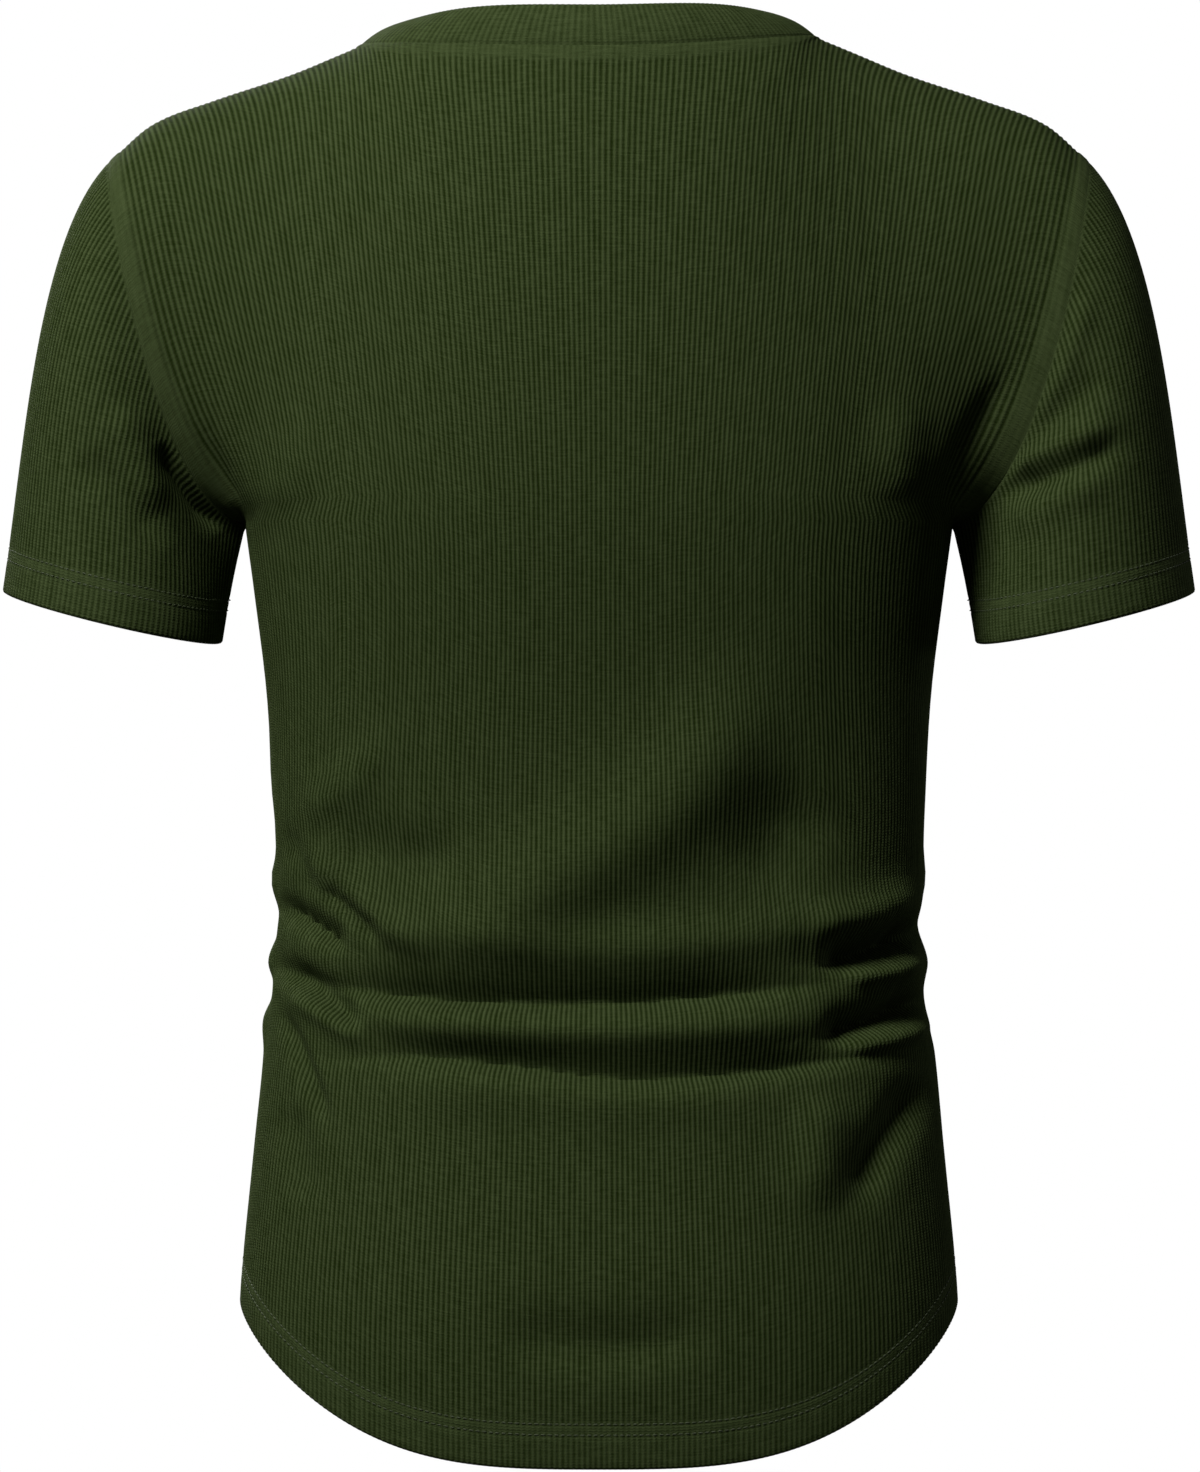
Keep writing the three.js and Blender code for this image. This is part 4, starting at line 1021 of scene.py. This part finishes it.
def placket_shell(name, lift, thick, start, length):
    """A strip of the same cloth, folded at its long edges, on or behind the front."""
    half = PLACKET["half"]
    columns = PLACKET["ribs"] * RIB_COLUMNS + 1
    inner_x = np.linspace(-half + 0.9, half - 0.9, columns - 8)
    edge_x = half - np.array((0, 0.15, 0.4, 0.65))
    x = np.concatenate([-edge_x, inner_x, edge_x[::-1]])
    drop = np.concatenate([[start, start + 0.3, start + 0.8], np.linspace(start + 2, start + length - 2, 44),
                           [start + length - 0.8, start + length - 0.3, start + length]])[::-1]
    grid_x, grid_drop = np.meshgrid(x, drop)
    top = NECKLINE["front"][1]
    base, normal = front_at(grid_x, top - grid_drop)
    side = half - np.abs(grid_x)
    end = np.minimum(grid_drop - start, start + length - grid_drop)
    edge = np.clip(1 - np.minimum(side, end) / 0.9, 0, 1)
    round_off = 0.8 * (1 - np.sqrt(1 - edge * edge))
    phase = (grid_x / (2 * half) + 0.5) * PLACKET["ribs"]
    ridge = (0.5 + 0.5 * np.cos(2 * GREEK_PI * phase)) * RIB_RISE * smooth(side / 2) * smooth(end / 2)
    dents = -0.4 * bell(side - 2, 0.6) - 0.4 * bell(start + length - grid_drop - 3, 0.6)
    dents = dents - 0.4 * bell(start + length - grid_drop - 9, 0.6)
    out = lift + thick - 0.3 + ridge + dents - round_off
    back = lift + round_off * 0.4
    uv = np.stack([phase, -grid_drop], -1)
    return shell(
        name,
        base + normal * out[..., None],
        base + normal * back[..., None],
        uv,
        0.3,
        every=4,
    )


def named_inputs(tree, sizes):
    """Gives a node tree its named inputs."""
    tree.interface.new_socket("Geometry", in_out="INPUT", socket_type="NodeSocketGeometry")
    for name in sizes:
        tree.interface.new_socket(name, in_out="INPUT", socket_type="NodeSocketFloat")
    tree.interface.new_socket("Geometry", in_out="OUTPUT", socket_type="NodeSocketGeometry")


def stitch_tree():
    """Lays stitches along lines: each is a short thick thread, a little apart from the next."""
    tree = bpy.data.node_groups.new("stitch_lines", "GeometryNodeTree")
    named_inputs(tree, ("Pitch", "Length", "Radius"))
    nodes, links = tree.nodes, tree.links
    given = nodes.new("NodeGroupInput")
    result = nodes.new("NodeGroupOutput")
    line = nodes.new("GeometryNodeMeshToCurve")
    links.new(given.outputs["Geometry"], line.inputs["Mesh"])
    spaced = nodes.new("GeometryNodeResampleCurve")
    spaced.mode = "LENGTH"
    links.new(line.outputs["Curve"], spaced.inputs["Curve"])
    links.new(given.outputs["Pitch"], spaced.inputs["Length"])
    thread = nodes.new("GeometryNodeMeshUVSphere")
    thread.inputs["Segments"].default_value = 6
    thread.inputs["Rings"].default_value = 5
    thread.inputs["Radius"].default_value = 1.0
    tangent = nodes.new("GeometryNodeInputTangent")
    turned = nodes.new("FunctionNodeAlignRotationToVector")
    turned.axis = "Z"
    links.new(tangent.outputs["Tangent"], turned.inputs["Vector"])
    size = nodes.new("ShaderNodeCombineXYZ")
    links.new(given.outputs["Radius"], size.inputs["X"])
    links.new(given.outputs["Radius"], size.inputs["Y"])
    links.new(given.outputs["Length"], size.inputs["Z"])
    placed = nodes.new("GeometryNodeInstanceOnPoints")
    links.new(spaced.outputs["Curve"], placed.inputs["Points"])
    links.new(thread.outputs["Mesh"], placed.inputs["Instance"])
    links.new(turned.outputs["Rotation"], placed.inputs["Rotation"])
    links.new(size.outputs["Vector"], placed.inputs["Scale"])
    realised = nodes.new("GeometryNodeRealizeInstances")
    links.new(placed.outputs["Instances"], realised.inputs["Geometry"])
    dressed = nodes.new("GeometryNodeSetMaterial")
    dressed.inputs["Material"].default_value = THREAD
    links.new(realised.outputs["Geometry"], dressed.inputs["Geometry"])
    links.new(dressed.outputs["Geometry"], result.inputs["Geometry"])
    return tree


STITCH_TREE = stitch_tree()


def stitched(name, lines, pitch=STITCH["pitch"], length=STITCH["length"], radius=STITCH["radius"]):
    """Stitches along lines of points in millimetres, as one plain mesh."""
    points, edges = [], []
    for line in lines:
        first = len(points)
        points.extend((np.asarray(line) * MM).tolist())
        edges.extend((first + i, first + i + 1) for i in range(len(line) - 1))
    guide_mesh = bpy.data.meshes.new(name + "_guide")
    guide_mesh.from_pydata(points, edges, [])
    guide = bpy.data.objects.new(name + "_guide", guide_mesh)
    bpy.context.scene.collection.objects.link(guide)
    made_by = guide.modifiers.new("stitches", "NODES")
    made_by.node_group = STITCH_TREE
    sizes = {"Pitch": pitch * MM, "Length": length * MM / 2, "Radius": radius * MM}
    for item in STITCH_TREE.interface.items_tree:
        if item.in_out == "INPUT" and item.name in sizes:
            made_by[item.identifier] = sizes[item.name]
    seen = guide.evaluated_get(bpy.context.evaluated_depsgraph_get())
    mesh = bpy.data.meshes.new_from_object(seen)
    mesh.name = name
    mesh.polygons.foreach_set("use_smooth", np.ones(len(mesh.polygons), bool))
    guide.modifiers.remove(made_by)
    bpy.data.objects.remove(guide)
    made = bpy.data.objects.new(name, mesh)
    bpy.context.scene.collection.objects.link(made)
    return made


def line_at(points, normals, distance, away, lift):
    """A line over a grid's columns, at a given distance along each, lifted off the cloth."""
    line = []
    for c in range(points.shape[1]):
        order = np.argsort(distance[:, c])
        run = distance[order, c]
        here = [np.interp(away, run, points[order, c, k]) for k in range(3)]
        facing = [np.interp(away, run, normals[order, c, k]) for k in range(3)]
        line.append(np.array(here) + np.array(facing) * lift)
    return np.array(line)


def hem_stitches():
    lines = []
    for face in ("back", "front"):
        panel = panels[face]
        every = slice(None, None, 4)
        for away in NEEDLE_LINES:
            line = line_at(panel.points[:, every], panel.normals[:, every], panel.hem[:, every], away, 0.25)
            lines.append(line)
    return stitched("hem_stitches", lines)


def cuff_stitches(hand):
    sleeve = sleeves[hand]
    mirror = np.array((sleeve.sign, 1, 1))
    every = slice(None, None, 4)
    lines = []
    for away in NEEDLE_LINES:
        line = line_at(sleeve.points[:, every], sleeve.normals[:, every], sleeve.from_cuff[:, every], away, 0.25)
        lines.append(line * mirror)
    return stitched(f"{hand}_cuff_stitches", lines)


def placket_stitches():
    top = NECKLINE["front"][1]
    half, length = PLACKET["half"], PLACKET["length"]
    lift = RIB_RISE + PLACKET["gap"] + PLACKET["upper"] - 0.45
    drops = np.linspace(1.5, length - 2.6, 60)
    rows = []
    for x in (-half + 2, half - 2):
        here, facing = front_at(np.full(drops.shape, x), top - drops)
        rows.append(here + facing * lift)
    for drop in (length - 3 + 0.4, length - 9 + 0.4):
        across = np.linspace(-half + 2, half - 2, 16)
        here, facing = front_at(across, np.full(across.shape, top - drop))
        rows.append(here + facing * lift)
    return stitched("placket_stitches", rows)


def buttonholes():
    """Each hole is a dense oval of thread, two rings deep, upright under its button."""
    top = NECKLINE["front"][1]
    lift = RIB_RISE + PLACKET["gap"] + PLACKET["upper"] - 0.2
    rows = []
    for drop in BUTTON["drops"]:
        turn = np.linspace(0, 2 * GREEK_PI, 41)
        for size in (1.0, 0.8):
            x = 1.5 * size * np.sin(turn)
            z = top - drop + 7.6 * np.cos(turn) * (0.9 + 0.1 * size)
            here, facing = front_at(x, z)
            rows.append(here + facing * lift)
    return stitched("buttonhole_thread", rows, pitch=0.55, length=0.9, radius=0.36)


def button_place(drop):
    here, facing = front_at(np.array([0.0]), np.array([NECKLINE["front"][1] - drop]))
    return here[0], facing[0]


def revolved(profile, sides):
    """A closed turned shape from a profile of (radius, height) that starts and ends on the axis."""
    points = [(0, 0, profile[0][1])]
    for radius, height in profile[1:-1]:
        for i in range(sides):
            a = 2 * GREEK_PI * i / sides
            points.append((radius * math.cos(a), radius * math.sin(a), height))
    points.append((0, 0, profile[-1][1]))
    rings = len(profile) - 2
    faces = []
    for i in range(sides):
        j = (i + 1) % sides
        faces.append((0, 1 + j, 1 + i))
        for r in range(rings - 1):
            a, b = 1 + r * sides + i, 1 + r * sides + j
            faces.append((a, b, b + sides))
            faces.append((a, b + sides, a + sides))
        last = 1 + (rings - 1) * sides
        faces.append((last + i, last + j, len(points) - 1))
    return np.array(points, float), faces


def mesh_from(name, points, faces):
    mesh = bpy.data.meshes.new(name)
    mesh.from_pydata(points.tolist(), [], [tuple(f) for f in faces])
    work = bmesh.new()
    work.from_mesh(mesh)
    bmesh.ops.recalc_face_normals(work, faces=work.faces)
    work.to_mesh(mesh)
    work.free()
    made = bpy.data.objects.new(name, mesh)
    bpy.context.scene.collection.objects.link(made)
    return made


def turned_towards(normal):
    """A frame of three axes whose third is the normal, and whose second points up."""
    side = unit(np.cross((0.0, 0.0, 1.0), normal))
    return np.stack([side, np.cross(normal, side), normal], 1)


def button(name, drop):
    """A four-hole button with a rolled rim and a dished middle."""
    radius, thick, rim = BUTTON["radius"], BUTTON["thick"], BUTTON["rim"]
    profile = [(0, 0), (radius - 0.9, 0), (radius - 0.3, 0.25), (radius, 0.8), (radius, thick - 0.8)]
    profile += [(radius - 0.2, thick - 0.3), (radius - 0.55, thick), (radius - rim + 0.1, thick - 0.1)]
    profile += [(radius - rim - 0.3, thick - 0.5), (radius - rim - 0.9, thick - 0.75), (1.2, thick - 0.7), (0, thick - 0.7)]
    disc = mesh_from(name, *revolved(profile, 64))
    drills = []
    for i in range(4):
        angle = (i + 0.5) * GREEK_PI / 2
        low, high = -1.0, thick + 1.0
        points, faces = revolved([(0, low), (BUTTON["hole"], low), (BUTTON["hole"], high), (0, high)], 20)
        points += np.array((BUTTON["ring"] * math.cos(angle), BUTTON["ring"] * math.sin(angle), 0))
        drill = mesh_from(f"drill_{i}", points, faces)
        cut = disc.modifiers.new("hole", "BOOLEAN")
        cut.operation = "DIFFERENCE"
        cut.solver = "EXACT"
        cut.object = drill
        drills.append(drill)
    seen = disc.evaluated_get(bpy.context.evaluated_depsgraph_get())
    mesh = bpy.data.meshes.new_from_object(seen)
    for drill in drills:
        bpy.data.objects.remove(drill)
    bpy.data.objects.remove(disc)
    here, facing = button_place(drop)
    lift = RIB_RISE + PLACKET["gap"] + PLACKET["upper"] + 0.3
    axes = turned_towards(facing)
    points = np.empty(len(mesh.vertices) * 3)
    mesh.vertices.foreach_get("co", points)
    points = points.reshape(-1, 3) @ axes.T + here + facing * lift
    mesh.vertices.foreach_set("co", (points * MM).ravel())
    mesh.polygons.foreach_set("use_smooth", np.ones(len(mesh.polygons), bool))
    mesh.set_sharp_from_angle(angle=math.radians(50))
    mesh.materials.clear()
    mesh.materials.append(PLASTIC)
    mesh.name = name
    made = bpy.data.objects.new(name, mesh)
    bpy.context.scene.collection.objects.link(made)
    return made


def button_threads():
    """Two pairs of threads through the holes of each button."""
    rows = []
    for drop in BUTTON["drops"]:
        here, facing = button_place(drop)
        axes = turned_towards(facing)
        lift = RIB_RISE + PLACKET["gap"] + PLACKET["upper"] + 0.3 + BUTTON["thick"] - 0.62
        reach = BUTTON["ring"] * math.cos(GREEK_PI / 4)
        for x in (-reach, reach):
            for shift in (-0.25, 0.25):
                z = np.linspace(-reach, reach, 9)
                bow = 0.35 * np.cos(z / reach * GREEK_PI / 2)
                local = np.stack([np.full(z.shape, x + shift), z, bow], -1)
                rows.append(local @ axes.T + here + facing * lift)
    return stitched("button_thread", rows, pitch=0.32, length=0.7, radius=0.24)


back = body_shell("back")
front = body_shell("front")
left_sleeve = sleeve_shell("left")
right_sleeve = sleeve_shell("right")
neckband = neckband_shell()
upper_lift = RIB_RISE + PLACKET["gap"]
placket_upper = placket_shell("placket_upper_cloth", upper_lift, PLACKET["upper"], 0.4, PLACKET["length"])
under_lift = -CLOTH - PLACKET["gap"] - PLACKET["under"]
placket_under = placket_shell("placket_under_cloth", under_lift, PLACKET["under"], 2, PLACKET["length"] - 4)
buttons = [button(f"shirt_button_{i + 1}", drop) for i, drop in enumerate(BUTTON["drops"])]

hem_thread = hem_stitches()
cuff_threads = [cuff_stitches(hand) for hand in ("left", "right")]
placket_thread = placket_stitches()
buttonhole_thread = buttonholes()
button_thread = button_threads()

for piece, node in (
    (back, "back_panel"),
    (front, "front_panel"),
    (left_sleeve, "sleeve_left"),
    (right_sleeve, "sleeve_right"),
    (neckband, "neckband"),
    (placket_upper, "placket_upper"),
    (placket_under, "placket_under"),
):
    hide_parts(node)
    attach(piece, "root")
for i, piece in enumerate(buttons):
    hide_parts(f"button_{i + 1}")
    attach(piece, "root")
for piece in (hem_thread, *cuff_threads, placket_thread, buttonhole_thread, button_thread):
    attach(piece, "root")


def studio():
    """A pale floor and backdrop, soft lights and the camera straight behind the shirt."""
    scene = bpy.context.scene
    scene.view_settings.view_transform = "Standard"
    pale = plain_glow("pale_studio", 1.0)
    mesh = bpy.data.meshes.new("floor")
    reach, level = 14.0, -1.25
    mesh.from_pydata([(-reach, -reach, level), (reach, -reach, level), (reach, reach, level), (-reach, reach, level)],
                     [], [(0, 1, 2, 3)])
    mesh.materials.append(pale)
    floor = bpy.data.objects.new("floor", mesh)
    scene.collection.objects.link(floor)
    floor.visible_diffuse = False
    floor.visible_glossy = False
    dome_mesh = bpy.data.meshes.new("backdrop")
    work = bmesh.new()
    bmesh.ops.create_uvsphere(work, u_segments=48, v_segments=24, radius=12.0)
    bmesh.ops.reverse_faces(work, faces=work.faces)
    work.to_mesh(dome_mesh)
    work.free()
    dome_mesh.materials.append(pale)
    backdrop = bpy.data.objects.new("backdrop", dome_mesh)
    scene.collection.objects.link(backdrop)
    backdrop.visible_diffuse = False
    backdrop.visible_glossy = False
    backdrop.visible_shadow = False
    world = bpy.data.worlds.new("studio_air")
    world.use_nodes = True
    world.node_tree.nodes["Background"].inputs["Color"].default_value = (1, 1, 1, 1)
    world.node_tree.nodes["Background"].inputs["Strength"].default_value = 0.04
    scene.world = world
    aim = Vector((0, 0, -0.3))
    for name, distance, height, side, size, watts in LAMPS:
        lamp = bpy.data.lights.new(name, "AREA")
        lamp.size = size
        lamp.energy = watts
        lamp_object = bpy.data.objects.new(name, lamp)
        up, round_z = math.radians(height), math.radians(side)
        away = Vector((math.sin(round_z) * math.cos(up), math.cos(round_z) * math.cos(up), math.sin(up)))
        lamp_object.location = aim + away * distance
        lamp_object.rotation_euler = (-away).to_track_quat("-Z", "Y").to_euler()
        scene.collection.objects.link(lamp_object)
    camera = bpy.data.cameras.new("camera")
    camera.sensor_width = 36
    camera.lens = 36 * 2.8 / 0.6992
    camera.clip_end = 60
    camera_object = bpy.data.objects.new("camera", camera)
    camera_object.location = (-0.0005, 2.8, -0.3273)
    camera_object.rotation_euler = (GREEK_PI / 2, 0, GREEK_PI)
    scene.collection.objects.link(camera_object)
    scene.camera = camera_object


studio()
